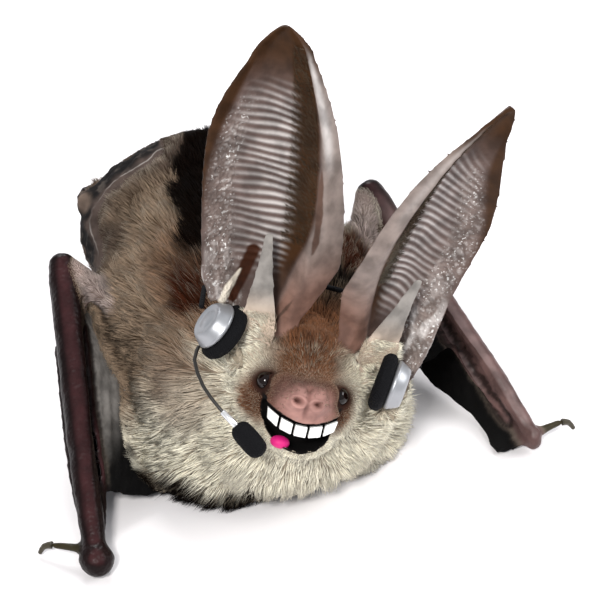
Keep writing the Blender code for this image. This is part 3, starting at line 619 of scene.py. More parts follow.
def toes():
    """The knuckle, tip and claw tip of each toe of both feet."""
    ankle, end = np.array(ANKLE), np.array(TOES)
    for side in SIDES.values():
        for spread in TOE_SPREADS:
            aside = np.array((spread * 1.5, -0.7 * abs(spread), 0))
            knuckle = ankle + (end - ankle) * 0.5 + aside * 0.7 + (0, 0, 0.35)
            tip = end + aside + (0, -1.5, 0.15)
            claw = end + aside * 1.1 + (0, -0.15, -0.35)
            yield [point * (side, 1, 1) for point in (knuckle, tip, claw)]


def joint_forms(bm):
    """The toes, skin over some joints, and a small fold at the outer root of the right ear."""
    for knuckle, tip, _ in toes():
        add_tube(bm, (knuckle, tip), (0.42, 0.34), WORLD)
    for root in CLAW_ROOTS:
        add_sphere(bm, root, 0.68, 3)
    add_tube(bm, EAR_FOLD, (0.45, 0.3, 0.02))
    for centre, radius in TRAGUS_ROOTS:
        add_ball(bm, centre, (radius, radius, radius))
    for centre, radius in BODY_BALLS:
        add_sphere(bm, centre, radius, 3)


def add_toe_claws():
    bm = bmesh.new()
    for _, tip, claw in toes():
        bend = (tip + claw) / 2 + (0, 0.1, 0.28)
        add_rod(bm, (tip - (0, 0.3, 0), bend, claw), (0.2, 0.15, 0.04), 8, WORLD)
    horn = plain("toe_claw", (0.09, 0.07, 0.04), 0.35)
    add_piece("toe_claws", bm, horn)


# -------- skin

SKIN_VOXEL = 0.30 * MM
GROWN = 0.18 * MM  # flesh nodes grow by this to close the gaps between them
THINNER = 0.1 * MM  # how far bare skin lies inside the solids
LIE_SHARE = 0.36  # the coat's depth over the length of its tufts
LINE_DEPTH, ARM_SLIM = 0.16, 0.42  # in millimetres
ELBOW_ROUND = 2.1 * MM

# The starts of the names of the nodes in each bare region, the first that fits
REGIONS = {
    "web": ("wing_fold_", "flank_web_", "tail_membrane_"),
    "tragus": ("tragus_",),
    "ear": ("ear_left", "ear_right"),
    "digit": ("thumb_", "foot_"),
    "sleeve": ("upper_arm_",),
    "arm": ("forearm_", "wrist_", "finger_", "thigh_", "shin_", "tail"),
}


def raw_skin():
    """All flesh as one closed surface, still grown by a hair's breadth."""
    bm = bmesh.new()
    for name in FLESH:
        part = welded(name)
        for v, shift in [(v, v.normal * GROWN) for v in part.verts]:
            v.co += shift
        mesh = mesh_of(part, "grown")
        bm.from_mesh(mesh)
        bpy.data.meshes.remove(mesh)
    face_forms(bm)
    joint_forms(bm)
    mesh = mesh_of(bm, "flesh")
    source = linked("flesh", mesh)
    remesh = source.modifiers.new("one_surface", "REMESH")
    remesh.mode = "VOXEL"
    remesh.voxel_size = SKIN_VOXEL
    graph = bpy.context.evaluated_depsgraph_get()
    skin = bpy.data.meshes.new_from_object(source.evaluated_get(graph))
    bpy.data.objects.remove(source)
    bpy.data.meshes.remove(mesh)
    return skin


def nearest_nodes(points):
    """The number of the nearest flesh node for each point."""
    corners, faces, owners = [], [], []
    for number, name in enumerate(FLESH):
        bm = welded(name)
        bm.verts.ensure_lookup_table()
        start = len(corners)
        corners += [v.co.copy() for v in bm.verts]
        faces += [[start + v.index for v in f.verts] for f in bm.faces]
        owners += [number] * len(bm.faces)
        bm.free()
    tree = BVHTree.FromPolygons(corners, faces)
    found = [tree.find_nearest(p) for p in map(Vector, points)]
    return np.array([owners[hit[2]] for hit in found])


def owned(owner, starts):
    """Which points belong to nodes whose names start so."""
    return np.array([name.startswith(starts) for name in FLESH])[owner]


def blotches(points, places):
    """The strongest of several soft ellipsoids, each given by its centre and radii."""
    return np.max([in_ball(points, centre, radii, 0.4) for centre, radii in places], axis=0)


def off_line(points, line):
    """The ways from a line through several points to each point."""
    line = np.array(line)
    nearest = np.full(points.shape, np.inf)
    for a, b in zip(line, line[1:]):
        share = np.clip((points - a) @ (b - a) / ((b - a) @ (b - a)), 0, 1)
        offset = points - a - share[:, None] * (b - a)
        closer = np.linalg.norm(offset, axis=1) < np.linalg.norm(nearest, axis=1)
        nearest = np.where(closer[:, None], offset, nearest)
    return nearest


def from_line(points, line):
    """How far each point is from a line through several points."""
    return np.linalg.norm(off_line(points, line), axis=1)


# Blotches of the coat's colours, as centres and radii
CREAM_ON_HEAD = (
    ((-8.2, 3.2, -0.5), (3.8, 4.5, 6.5)),
    ((-7.0, 2.8, 4.5), (3.4, 3.4, 4.6)),
    ((7.6, 2.4, 0.6), (4.0, 4.5, 5.5)),
    ((6.6, 2.6, 4.2), (3.0, 3.4, 4.0)),
    ((0, 2.5, -7.5), (9, 6, 5.5)),
)
RUST_ON_HEAD = (
    ((0.6, 4.2, 7.2), (5.4, 5.6, 4.4)),
    ((1.8, 7.6, 7.8), (4.6, 4.6, 4.2)),
    ((0, -0.3, 2.4), (4.4, 4.4, 3.4)),
    ((0.1, 1.4, 5.0), (4.4, 3.8, 3.2)),
    ((-0.5, -3.2, 0.2), (6.9, 4.2, 4.2)),
    ((-5.4, -0.2, -2.3), (2.2, 3.0, 2.8)),
    ((4.9, 0.0, -1.6), (1.5, 2.6, 2.4)),
)
DARK_ON_HEAD = (
    ((-5.3, -0.8, -2.0), (1.4, 2.4, 2.2)),
    ((4.6, -0.6, -1.6), (1.0, 2.0, 1.8)),
    ((0.2, 1.2, 4.2), (1.6, 2.0, 1.6)),
)
RUST_ON_BODY = (
    ((-9.0, 1, 22.5), (4.0, 8, 6)),
    ((-13.0, -10, 15.5), (4.0, 5, 5)),
)
# Painted shade on the left flank under the left ear and arm, black and dark red-brown
SHADE_ON_LEFT_FLANK = ((10.5, 4, 20), (5, 16, 7))
DEEP_SHADE_ON_LEFT_FLANK = ((13.4, 2.6, 19.3), (4.2, 6.0, 4.6))
PALE_FLANK = ((18.2, 11.5, 18.8), (3.2, 4.2, 3.4))
# A dark line along the back, partly dark fur and partly the right ear's painted shadow,
# and the fold of skin round the rump
MANTLE_AND_SHADOW = (
    (2.6, 29.5, 23.5), (0.4, 22.0, 25.4), (-3.4, 13.0, 25.5), (-6.6, 4.5, 24.2), (-8.2, -1.5, 21.8)
)
RUMP_FOLD = (
    (-16.4, 20.0, 14.6), (-15.6, 24.6, 16.6), (-14.4, 25.0, 18.8), (-12.0, 26.4, 21.0),
    (-8.0, 26.2, 23.8), (-2.8, 27.8, 24.8), (2.4, 29.0, 24.2),
)
RUMP_BACK = (-0.45, 0.8, -0.4)  # the way in which the fold's bare skin ends
RIDGE_MIDDLE, RIDGE_HALF = 2.95, 0.20  # the fold's pale ridge, off the fold's line
BREAST_SLOPE, BREAST_HEIGHT, BREAST_BLEND = 1.75, -1.5, (-11, 8)
# The arms' painted highlight is strongest where their skin faces this way
ARM_HIGHLIGHT_WAY = unit(np.array((-0.15, -0.55, 0.82)))  # the way in which the arms are palest

# The lengths of tufts, and where those of the crown and the forelock grow
BODY_FUR, SNOUT_FUR, CROWN_FUR, FORELOCK_FUR = 3.9, 0.28, 1.3, 1.5
CROWN = ((0.5, 4.0, 7.6), (6.2, 4.8, 4.4))
FORELOCK = ((0.2, 0.8, 4.4), (3.0, 3.2, 2.6))


def markings(points):
    """What the coat looks like at each point, as masks from 0 to 1. The boundary between the
    brown back and the cream breast slopes up towards the throat. The dark and deep masks are
    partly dark fur and partly painted shade: behind the right ear, on the left flank and along
    the floor."""
    head, world = in_head(points), points / MM
    x, y, z = world.T
    ragged = wavy(world, 7, 1) * 1.6 + wavy(world, 2.5, 2) * 0.8
    below = BREAST_HEIGHT - (z + BREAST_SLOPE * y) + ragged
    cream = np.maximum(ramp(*BREAST_BLEND, below), blotches(head, CREAM_ON_HEAD))
    eyes = [((EYE_SPREAD * side, -0.3, 0), (2.0, 2.0, 2.0)) for side in SIDES.values()]
    # the right ear's painted shadow along the back, partly dark fur: dark red-brown low down,
    # black above
    mantle_and_shadow = ramp(3.4, 2.4, from_line(world, MANTLE_AND_SHADOW) + 0.3 * ragged)
    deep = np.maximum(mantle_and_shadow * ramp(24.6, 22.5, z), in_ball(world, *DEEP_SHADE_ON_LEFT_FLANK, 0.4))
    dark = np.maximum(in_ball(world, *SHADE_ON_LEFT_FLANK, 0.4), mantle_and_shadow) * (1 - deep)
    # painted shade under the body along the floor, taller and stronger on the right side
    low = ramp(3.2, 7.0, -x)
    floor_shade = ramp(3.0 + 3.0 * low, 1.5 + 2.5 * low, z + ragged * 0.5)
    return {
        "cream": np.maximum(cream, 0.75 * in_ball(world, *PALE_FLANK)),
        "umber": 0.9 * ramp(10, 5, from_line(world, RUMP_FOLD) + 0.5 * ragged),
        "rust": np.maximum(blotches(head, RUST_ON_HEAD), 0.45 * blotches(world, RUST_ON_BODY)),
        "face": in_ball(head, (0, -4.4, -0.1), (5.2, 3.5, 3.5)),
        "deep": deep,
        "dark": np.maximum(dark, floor_shade * (0.25 + 0.75 * low)),
        "bare": in_ball(head, (0.1, -5.6, -1.3), (3.9, 3.5, 2.8), 0.7),
        "lid": np.maximum(blotches(head, eyes), 0.6 * blotches(head, DARK_ON_HEAD)),
    }


def region_masks(owner, edges):
    masks = {}
    taken = np.zeros(len(owner), bool)
    for region, starts in REGIONS.items():
        inside = owned(owner, starts) & ~taken
        taken |= inside
        masks[region] = edges.smooth(inside.astype(float), 3)
    return masks


def body_share(masks):
    """How much each point is part of the furred body rather than of a bare region."""
    return np.clip(1 - sum(masks[region] for region in REGIONS), 0, 1)


def mouth_mask(points, normals):
    """Where the skin lines the open mouth, behind the lips."""
    x, y, z = in_head(points).T
    upper, lower = lip_heights(x)
    rise = (normals @ HEAD_AXES)[:, 2]
    inside = ramp(0.45, 0.25, z - upper) * ramp(-0.45, -0.2, z - lower)
    between = ramp(1.12, 1.02, np.abs(x - MOUTH_SHIFT) / MOUTH_HALF)
    inside *= between * ramp(1.6, 1.2, y)
    turned = ramp(0.35, 0.75, np.where(z > (upper + lower) / 2, -rise, rise))
    return inside * np.maximum(turned, ramp(0.1, 0.5, y - lip_front(x)))


def coat_length(points, masks):
    """The length of the tufts at each point, in metres, and 0 where the skin is bare."""
    head, world = in_head(points), points / MM
    snout = np.linalg.norm((head - np.array((0, -3.0, -1.0))) / np.array((1, 1.1, 1)), axis=1)
    near_face = SNOUT_FUR + 3.4 * ramp(3.8, 13, snout)
    near_face = near_face - (near_face - CROWN_FUR) * in_ball(head, *CROWN, 0.3)
    near_face = near_face + FORELOCK_FUR * in_ball(head, *FORELOCK)
    on_head = in_ball(head, (0, 4, 0), (13, 12, 11), 0.25)
    length = BODY_FUR * (1 - on_head) + np.minimum(BODY_FUR, near_face) * on_head
    length = length * (1 - 0.35 * ramp(3.0, 0.5, world[:, 2]))
    for side in SIDES.values():
        away = np.linalg.norm(head - np.array((EYE_SPREAD * side, 0, 0)), axis=1)
        length = np.minimum(length, np.maximum(0.8 * (away - 1.35), 0))
    rooted = ramp(10.5, 5.5, head[:, 2])
    length = np.where(masks["tragus"] > 0.5, np.minimum(length, 0.5 + 1.2 * rooted), length)
    from_elbow = np.linalg.norm(np.abs(points) - np.array(ELBOW) * MM, axis=1) / MM
    sleeve = 0.3 + 1.6 * ramp(3.0, 8.0, from_elbow)
    length = np.where(masks["sleeve"] > 0.3, np.minimum(length, sleeve), length)
    length = length * ramp(3.6, 8.0, masks["rump_far"])
    length = length * (0.3 + 0.7 * ramp(1.0, 4.5, masks["rump_ridge"]))
    flesh = masks["tragus"] * (1 - rooted) + masks["arm"] + masks["web"] + masks["digit"]
    furred = np.clip(1 - (masks["ear_skin"] + flesh), 0, 1)
    furred = furred * ramp(0.97, 0.8, masks["bare"])
    return length * furred * (1 - masks["mouth"]) * MM


def refined(mesh, finer):
    """Splits in four each face of which all corners are to be finer."""
    bm = bmesh.new()
    bm.from_mesh(mesh)
    bm.verts.ensure_lookup_table()
    edges = {e for f in bm.faces if all(finer[v.index] for v in f.verts) for e in f.edges}
    bmesh.ops.subdivide_edges(bm, edges=list(edges), cuts=1, use_grid_fill=True)
    bm.to_mesh(mesh)
    bm.free()


def ear_masks(points, owner):
    """The marks and places of points on their own ear, and on the right ear for all others."""
    found = {}
    for side_name in SIDES:
        u, v, front = ear_places(side_name, points)
        marks, relief = ear_marks(side_name, u, v)
        front = ramp(-0.1, 0.1, front / MM)
        marks |= {"ear_u": u, "ear_front": front, "ear_relief": relief}
        mine = owned(owner, ("ear_" + side_name, "tragus_" + side_name))
        for name, values in marks.items():
            found[name] = np.where(mine, values, found.get(name, values))
    return found


def nose_relief(points):
    """Nostrils, the rims around them and the furrow between, in millimetres, and the mask of
    the shade painted into them and the furrow."""
    x, y, z = in_head(points).T
    front = ramp(-4.0, -5.0, y)
    relief, inside = np.zeros(len(points)), np.zeros(len(points))
    for side in SIDES.values():
        across = (x - 0.15 - 1.12 * side) * side
        up = z + 0.28
        slant = np.stack([across * 0.9 + up * 0.35, up * 0.95 - across * 0.3], axis=1)
        far = np.linalg.norm(slant / np.array((0.52, 0.38)), axis=1)
        relief += 0.26 * np.exp(-(((far - 1.75) / 0.6) ** 2)) - 0.75 * np.exp(-(far**2))
        inside += np.exp(-((far / 0.8) ** 2))
    furrow = np.exp(-(((x - 0.15) / 0.25) ** 2)) * ramp(-2.6, -1.6, z)
    return (relief - 0.25 * furrow) * front, np.clip(inside + 0.5 * furrow, 0, 1) * front


def rump_masks(points, body):
    """Distances from the rump's fold, and the mask of its bare skin."""
    world = points / MM
    ragged = wavy(world, 3.1, 26) * 0.3 + wavy(world, 1.3, 27) * 0.15
    offset = off_line(world, RUMP_FOLD)
    near = np.linalg.norm(offset, axis=1)
    behind = ramp(1.6, 0.6, offset @ unit(np.array(RUMP_BACK)) + ragged)
    beside = ramp(-2.0, -4.5, world[:, 0])
    far = near + ragged + 8 * (1 - behind * beside)
    return {
        "rump_ridge": near + 0.3 * ragged,
        "rump_top": ramp(15.4, 17.8, world[:, 2]),
        "rump_far": far,
        "rump": body * ramp(4.8, 3.6, far),
    }


def rounded_elbows(points, arm):
    """Rounds the flat ends of the forearms behind the elbows."""
    for side in SIDES.values():
        elbow = np.array(ELBOW) * (side, 1, 1) * MM
        axis = unit(elbow - np.array(WRIST) * (side, 1, 1) * MM)
        along = (points - elbow) @ axis
        aside = points - elbow - along[:, None] * axis
        far = np.linalg.norm(aside, axis=1)
        past = np.clip(along + ELBOW_ROUND / 3, 0, 0.9 * ELBOW_ROUND)
        room = np.sqrt(ELBOW_ROUND**2 - past**2) + 0.1 * MM
        share = np.minimum(room / np.maximum(far, 1e-9), 1)
        mine = arm & (far < 4 * MM) & (along < 4 * MM)
        moved = aside * (share - 1)[:, None]
        moved = moved + axis * np.minimum(ELBOW_ROUND / 2 - along, 0)[:, None]
        points = points + moved * mine[:, None]
    return points


def finger_lines(owner, edges):
    """Where the fingers' skin meets the forearm's and the wing's, from 0 to 1."""
    finger = owned(owner, "finger").astype(float)
    other = owned(owner, ("forearm", "wing_fold", "flank_web")).astype(float)
    touch = edges.mean(finger) * other + edges.mean(other) * finger
    return np.clip(edges.smooth((touch > 0).astype(float), 1) * 1.3, 0, 1)


def skin_creases(points, masks):
    """Low folds of the arms, the wings, the bare muzzle and the rump, in millimetres."""
    world = points / MM
    arms = wavy(world, 1.6, 21) * 0.02 + wavy(world, 4.0, 22) * 0.05
    wings = wavy(world * np.array((1, 0.4, 1)), 1.5, 23) * 0.09
    muzzle = wavy(world, 1.1, 24) * 0.035
    folds = wavy(world, 2.6, 25) * 0.17 + wavy(world, 1.1, 28) * 0.06
    crest = np.exp(-(((masks["rump_ridge"] - RIDGE_MIDDLE) / 0.3) ** 2))
    folds = folds + 0.25 * crest * masks["rump_top"]
    bare = muzzle * masks["bare"] + folds * masks["rump"]
    return arms * masks["arm"] + wings * masks["web"] + bare


def shaped_skin():
    """The skin's mesh, smooth but for the face and finer on the ears and the muzzle, with its
    corners and edges."""
    mesh = raw_skin()
    corners, edges = values_of(mesh.vertices, "co"), Edges(mesh)
    regions = region_masks(nearest_nodes(corners), edges)
    soft_face = in_ball(in_head(corners), (0, -3.5, -1.5), (6.5, 6, 6), 0.2)
    evened = edges.smooth(body_share(regions) * (1 - soft_face), 4)
    corners = edges.smooth(edges.smooth(corners, 30, 0.5 * evened), 4, 0.4)
    set_corners(mesh, corners)
    muzzle = in_ball(in_head(corners), (0, -4, -0.8), (5.6, 4.5, 4.5), 0.05) > 0.5
    refined(mesh, (regions["ear"] > 0.2) | muzzle)
    edges = Edges(mesh)
    corners = edges.smooth(values_of(mesh.vertices, "co"), 2)
    forearm = owned(nearest_nodes(corners), "forearm")
    corners = edges.smooth(rounded_elbows(corners, forearm), 2)
    set_corners(mesh, corners)
    return mesh, corners, edges


def skin_masks(corners, normals, edges):
    """What the skin is at each of its corners, mostly as masks from 0 to 1."""
    owner = nearest_nodes(corners)
    head = in_head(corners)
    masks = region_masks(owner, edges)
    body = body_share(masks)
    masks |= ear_masks(corners, owner) | markings(corners) | rump_masks(corners, body)
    masks["ear_front"] = ramp(0.15, 0.45, edges.smooth(masks["ear_front"], 12))
    off_root = np.maximum(ramp(0, 0.06, masks["ear_u"]), ramp(4.0, 5.5, head[:, 2]))
    masks["ear_skin"] = masks["ear"] * off_root
    masks["mouth"] = mouth_mask(corners, normals)
    masks["nose"] = in_ball(head, (0.2, -5.7, -0.9), (3.0, 2.6, 2.5), 0.6) * body
    masks["bare"] = masks["bare"] * body
    masks["line"] = finger_lines(owner, edges)
    wide = np.interp(head[:, 2], (7.6, 9.6, 11.8), (0.6, 0.62, 0.05))
    masks["ear_fold"] = ramp(0.12, -0.1, from_line(head, EAR_FOLD) - wide)
    # painted shadow beside the right ear's fold, on the ear's hollow side
    masks["ear_fold_shadow"] = ramp(1.0, 0.6, from_line(head, EAR_FOLD_SHADOW)) * masks["ear_front"]
    # painted highlight on the arms where their skin faces one fixed way
    masks["arm_highlight"] = ramp(0.80, 0.99, normals @ ARM_HIGHLIGHT_WAY) * masks["arm"]
    gloss = 0.75 * masks["ear"] + masks["tragus"] * 0.5 + 0.75 * masks["arm"]
    masks["gloss"] = np.clip(gloss + 0.7 * masks["digit"] + 0.7 * masks["bare"], 0, 1)
    return masks


def build_skin():
    """Shapes, marks and adds the skin; gives its mesh and masks to the coat."""
    mesh, corners, edges = shaped_skin()
    normals = values_of(mesh.vertex_normals, "vector")
    masks = skin_masks(corners, normals, edges)
    masks["length"] = edges.smooth(coat_length(corners, masks), 10)
    inward = GROWN + THINNER * (1 - body_share(masks)) + LIE_SHARE * masks["length"]
    nose, masks["nostril"] = nose_relief(corners)
    relief = masks.pop("ear_relief") * masks["ear"] * masks["ear_front"] + nose
    relief += skin_creases(corners, masks)
    slim = ramp(-10, 16, corners[:, 0] / MM) * ramp(14, 4, corners[:, 1] / MM)
    relief -= LINE_DEPTH * masks["line"] + ARM_SLIM * masks["arm"] * slim
    corners = corners - normals * (edges.smooth(inward, 4) - relief * MM)[:, None]
    corners[:, 2] = np.maximum(corners[:, 2], 0)
    set_corners(mesh, np.clip(corners, BOX_LOW, BOX_HIGH))
    x, y, z = (corners / MM).T
    masks["tragus_root"] = ramp(11, 6, in_head(corners)[:, 2])
    masks["knob"] = in_ball(corners / MM, KNOB, (1.2, 1.2, 1.2), 0.5)
    # the left arm painted lighter as lit; the right arm keeps the near-black arm colour as painted
    # shade
    masks["lit_arm"] = ramp(0, 14, x) * ramp(16, 5, y)
    # the upper web by the right elbow painted grey as lit, above the web's painted shade
    masks["lit_web"] = ramp(5, 9, z) * ramp(18, 14, y) * ramp(2, -2, x)
    for name, values in masks.items():
        set_floats(mesh, name, values)
    skin = add_piece("skin", mesh, skin_material())
    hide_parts(*FLESH)
    return mesh, masks


# -------- skin and coat colours

COAT_COLOURS = {  # middle of the tufts, in the order in which they cover each other
    "brown": (0.26, 0.19, 0.132),
    "cream": (0.86, 0.82, 0.68),
    "umber": (0.068, 0.049, 0.040),
    "rust": (0.205, 0.088, 0.042),
    "face": (0.155, 0.080, 0.062),
    "sleeve": (0.37, 0.30, 0.275),
    # dark red-brown and near black: partly dark fur, partly painted shade behind the right ear, on
    # the left flank and along the floor
    "deep": (0.050, 0.014, 0.006),
    "dark": (0.004, 0.002, 0.0012),
    "lid": (0.06, 0.026, 0.018),
}
BARE_COLOURS = {
    "bare": (0.18, 0.090, 0.074),
    "nose": (0.34, 0.185, 0.160),
    # painted shade in the nostrils and the furrow between them
    "nostril": (0.05, 0.014, 0.010),
    # near black: the arms' dark skin, darkened further as painted shade; the left arm is painted
    # lighter as lit
    "arm": (0.006, 0.002, 0.002),
    # near black: the wing membranes' dark skin with painted shade over it
    "web": (0.0008, 0.0006, 0.0006),
    "digit": (0.03, 0.024, 0.012),
    # near black: painted shade inside the open mouth
    "mouth": (0.002, 0.0015, 0.0015),
}
EAR_BACK = (0.085, 0.05, 0.038)
EAR_COLOURS = {
    "front": (0.088, 0.060, 0.053),
    "ear_pale": (0.20, 0.162, 0.145),
    "ear_low": (0.19, 0.105, 0.08),
    "ear_dark": (0.036, 0.015, 0.005),
    # painted highlight on the ribs, the grain, the folds and the streak
    "ear_highlight": (0.42, 0.39, 0.375),
}
# painted glints on the ears' grainy outer strip
GLINT_COLOUR = (0.66, 0.65, 0.63)
# the painted shadow beside the right ear's fold, and the fold's pale colour
EAR_FOLD_SHADOW_COLOUR, EAR_FOLD_COLOUR = (0.035, 0.012, 0.006), (0.62, 0.56, 0.47)
TRAGUS_TIP, TRAGUS_ROOT = (0.215, 0.20, 0.185), (0.46, 0.365, 0.29)
# the left arm painted lighter as lit, and painted shade along the finger lines
LIT_ARM, FINGER_LINE_SHADE = (0.098, 0.057, 0.053), (0.004, 0.002, 0.002)
# painted highlights on the arms: a dark one on the shaded right arm, a pale one on the lit left
# arm
SHADED_ARM_HIGHLIGHT, LIT_ARM_HIGHLIGHT = (0.034, 0.011, 0.012), (0.15, 0.105, 0.10)
# the lit upper part of the web by the right elbow
LIT_WEB = (0.14, 0.13, 0.12)
RUMP_EDGE, RUMP_LUMPS = (0.006, 0.005, 0.005), (0.045, 0.037, 0.032)
RUMP_SKIN, RUMP_RIDGE = (0.055, 0.040, 0.034), (0.20, 0.18, 0.165)
KNOB_COLOUR = (0.13, 0.095, 0.075)
# Shares of the coat's colour in the skin under it and at the roots of its tufts
UNDER_COAT, TUFT_ROOT = (0.5, 0.45, 0.42), (0.36, 0.31, 0.28)
CREAM_ROOT, TUFT_TIP = (0.50, 0.43, 0.33), (0.62, 0.54, 0.43)


def marked_colour(nodes, colours):
    """The colour of the first entry, covered in turn by the others where their masks say."""
    (_, colour), *covers = colours.items()
    for mask, cover in covers:
        colour = nodes.mix(mask, colour, cover)
    return colour


def ear_colour(nodes):
    # painted glints, in patches, on the grainy outer strip
    patches = nodes.between(nodes.noise(500, 1), 0.35, 0.6, 0.25, 1.0)
    glints = nodes.times(nodes.between(nodes.noise(3000, 2), 0.58, 0.70), patches)
    ear = marked_colour(nodes, EAR_COLOURS)
    ear = nodes.mix(nodes.times(glints, "ear_grain"), ear, GLINT_COLOUR)
    ear = nodes.mix("ear_fold_shadow", ear, EAR_FOLD_SHADOW_COLOUR)
    ear = nodes.mix("ear_fold", ear, EAR_FOLD_COLOUR)
    return nodes.mix("ear_front", EAR_BACK, ear)


def rump_colour(nodes):
    lumps = nodes.between(nodes.noise(700, 2), 0.5, 0.68)
    edge = nodes.mix(lumps, RUMP_EDGE, RUMP_LUMPS)
    fold = nodes.mix(nodes.between("rump_far", 1.3, 3.0), edge, RUMP_SKIN)
    inner = nodes.between("rump_ridge", RIDGE_MIDDLE - RIDGE_HALF, RIDGE_MIDDLE)
    outer = nodes.between("rump_ridge", RIDGE_MIDDLE + RIDGE_HALF, RIDGE_MIDDLE)
    broken = nodes.between(nodes.noise(300, 1), 0.38, 0.55)
    ridge = nodes.times(nodes.times(inner, outer), broken)
    fold = nodes.mix(nodes.times(ridge, "rump_top"), fold, RUMP_RIDGE)
    return nodes.mix("knob", fold, KNOB_COLOUR)


def skin_material():
    nodes = Nodes("skin")
    colours = {
        "coat": nodes.tint(marked_colour(nodes, COAT_COLOURS), UNDER_COAT),
        **BARE_COLOURS,
        "ear_skin": ear_colour(nodes),
        "tragus": nodes.mix("tragus_root", TRAGUS_TIP, TRAGUS_ROOT),
    }
    colour = marked_colour(nodes, colours)
    # the left arm painted lighter as lit
    colour = nodes.mix(nodes.times("arm", "lit_arm"), colour, LIT_ARM)
    # painted highlights on the arms, paler on the lit left arm
    highlight = nodes.mix("lit_arm", SHADED_ARM_HIGHLIGHT, LIT_ARM_HIGHLIGHT)
    colour = nodes.mix(nodes.times("arm_highlight", 0.8), colour, highlight)
    # the upper web by the right elbow painted grey as lit
    colour = nodes.mix(nodes.times("web", "lit_web"), colour, LIT_WEB)
    colour = nodes.mix("rump", colour, rump_colour(nodes))
    # painted shade along the creases where the fingers meet the forearm and the wing
    colour = nodes.mix(nodes.times("line", 0.8), colour, FINGER_LINE_SHADE)
    colour = nodes.tint(colour, nodes.between(nodes.noise(420, 3), 0.3, 0.7, 0.7, 1.3))
    bump = nodes.bump(nodes.noise(2600, 3), 0.00006, 0.4)
    bump = nodes.bump(nodes.times(nodes.cells(1900), "ear_grain"), 0.00025, 0.8, Normal=bump)
    cracks = nodes.times(nodes.cells(1700, "DISTANCE_TO_EDGE"), "arm")
    bump = nodes.bump(cracks, 0.00006, 0.25, Normal=bump)
    rough = nodes.between("gloss", 0, 1, 0.85, 0.3)
    return nodes.finish(
        Base_Color=colour, Roughness=rough, Normal=bump, Specular_IOR_Level=0.12
    )


def coat_material():
    nodes = Nodes("coat")
    middle = marked_colour(nodes, COAT_COLOURS)
    root = nodes.mix("cream", nodes.tint(middle, TUFT_ROOT), CREAM_ROOT)
    colour = nodes.mix(nodes.between("along", 0.0, 0.5), root, middle)
    tipped = nodes.times(nodes.between("along", 0.55, 1.0), "tipped")
    colour = nodes.tint(nodes.mix(tipped, colour, TUFT_TIP), "shade")
    return nodes.finish(Base_Color=colour, Roughness=0.6, Specular_IOR_Level=0.02)


# -------- coat

TUFTS = 120000
TUFTS_PER_LOCK = 45
MOST_TRIANGLES = 190000
TUFT_WIDTH = 0.105 * MM
# Shares of a tuft's length and width, and its angle off the skin in degrees, drawn between two
LENGTHS, WIDTHS, LIFTS = (0.72, 1.12), (0.7, 1.3), (14, 34)
SHADES, TIPS, PULLS = (0.8, 1.2), (0, 0.75), (0.15, 0.75)
DROOP, WAYWARD, STRAY = 0.3, 0.13, 0.16
SHORTEST = 0.25 * MM  # skin with a shorter coat gets none
FRINGE_LENGTH, FRINGE_SHARE = 0.7, 0.35  # of the hairs in the ears' grooves
MARGIN = 0.05 * MM  # between the tufts and the solids' box
# A tuft is two rings of three corners and a tip; where those are along it, and its faces
ALONG = (0, 0, 0, 0.45, 0.45, 0.45, 1.0)
TUFT_FACES = (
    (0, 2, 1),
    (0, 1, 4), (0, 4, 3), (1, 2, 5), (1, 5, 4), (2, 0, 3), (2, 3, 5),
    (3, 4, 6), (4, 5, 6), (5, 3, 6),
)
TRUNK = (-1.0 * MM, 11.0 * MM)  # the x and z of its long axis
UV_PATCH = 0.003  # how large a tuft is on the flat map


def lie_of_coat(points, normals):
    """The way the coat lies: away from the nose, back along the body and down its sides."""
    nose = HEAD_ORIGIN + HEAD_AXES @ np.array((0, -6.5, 0)) * MM
    return along_skin(unit(points - nose) + np.array((0, 0.35, -0.25)), normals)


def along_skin(ways, normals):
    return unit(ways - (ways * normals).sum(axis=1)[:, None] * normals)


def sample_skin(mesh, corners, weights):
    """Random places on the skin, spread by weight: corners of triangles and their shares."""
    mesh.calc_loop_triangles()
    triangles = values_of(mesh.loop_triangles, "vertices", kind=int)
    a, b, c = (corners[triangles[:, k]] for k in range(3))
    area = np.linalg.norm(np.cross(b - a, c - a), axis=1) / 2
    total = np.cumsum(area * weights[triangles].mean(axis=1))
    draws = (np.arange(TUFTS) + random.random(TUFTS)) / TUFTS * total[-1]
    chosen = np.searchsorted(total, draws)
    r, s = random.random(TUFTS), random.random(TUFTS)
    flip = r + s > 1
    r, s = np.where(flip, 1 - r, r), np.where(flip, 1 - s, s)
    return triangles[chosen], np.stack([1 - r - s, r, s], axis=1)


def tuft_corners(root, way, out, length, width, lift):
    """The corners of each tuft, which leaves the skin at an angle and droops."""
    side = np.cross(way, out)
    start = way * np.cos(lift)[:, None] + out * np.sin(lift)[:, None]
    end = way * np.cos(lift * DROOP)[:, None] + out * np.sin(lift * DROOP)[:, None]
    middle = root + start * (length * ALONG[3])[:, None]
    corners = []
    for centre, size in ((root - out * 0.1 * MM, 1.0), (middle, 0.85)):
        for turn in angles(3):
            across = side * math.cos(turn) + out * math.sin(turn)
            corners.append(centre + across * (width * size / 2)[:, None])
    corners.append(middle + end * (length * (1 - ALONG[3]))[:, None])
    return np.stack(corners, axis=1)


def gathered(shape, root, length):
    """Draws the tips of the tufts together into pointed locks."""
    leaders = random.choice(TUFTS, TUFTS // TUFTS_PER_LOCK, replace=False)
    tree = KDTree(len(leaders))
    for number, leader in enumerate(leaders):
        tree.insert(Vector(root[leader]), number)
    tree.balance()
    lock = leaders[[tree.find(Vector(p))[1] for p in root]]
    pull = random.uniform(*PULLS, TUFTS) * (length > 1.2 * MM)
    moved = (shape[lock, 6] - shape[:, 6]) * pull[:, None]
    shape[:, 6] += moved
    shape[:, 3:6] += (moved * 0.3)[:, None, :]
    return shape


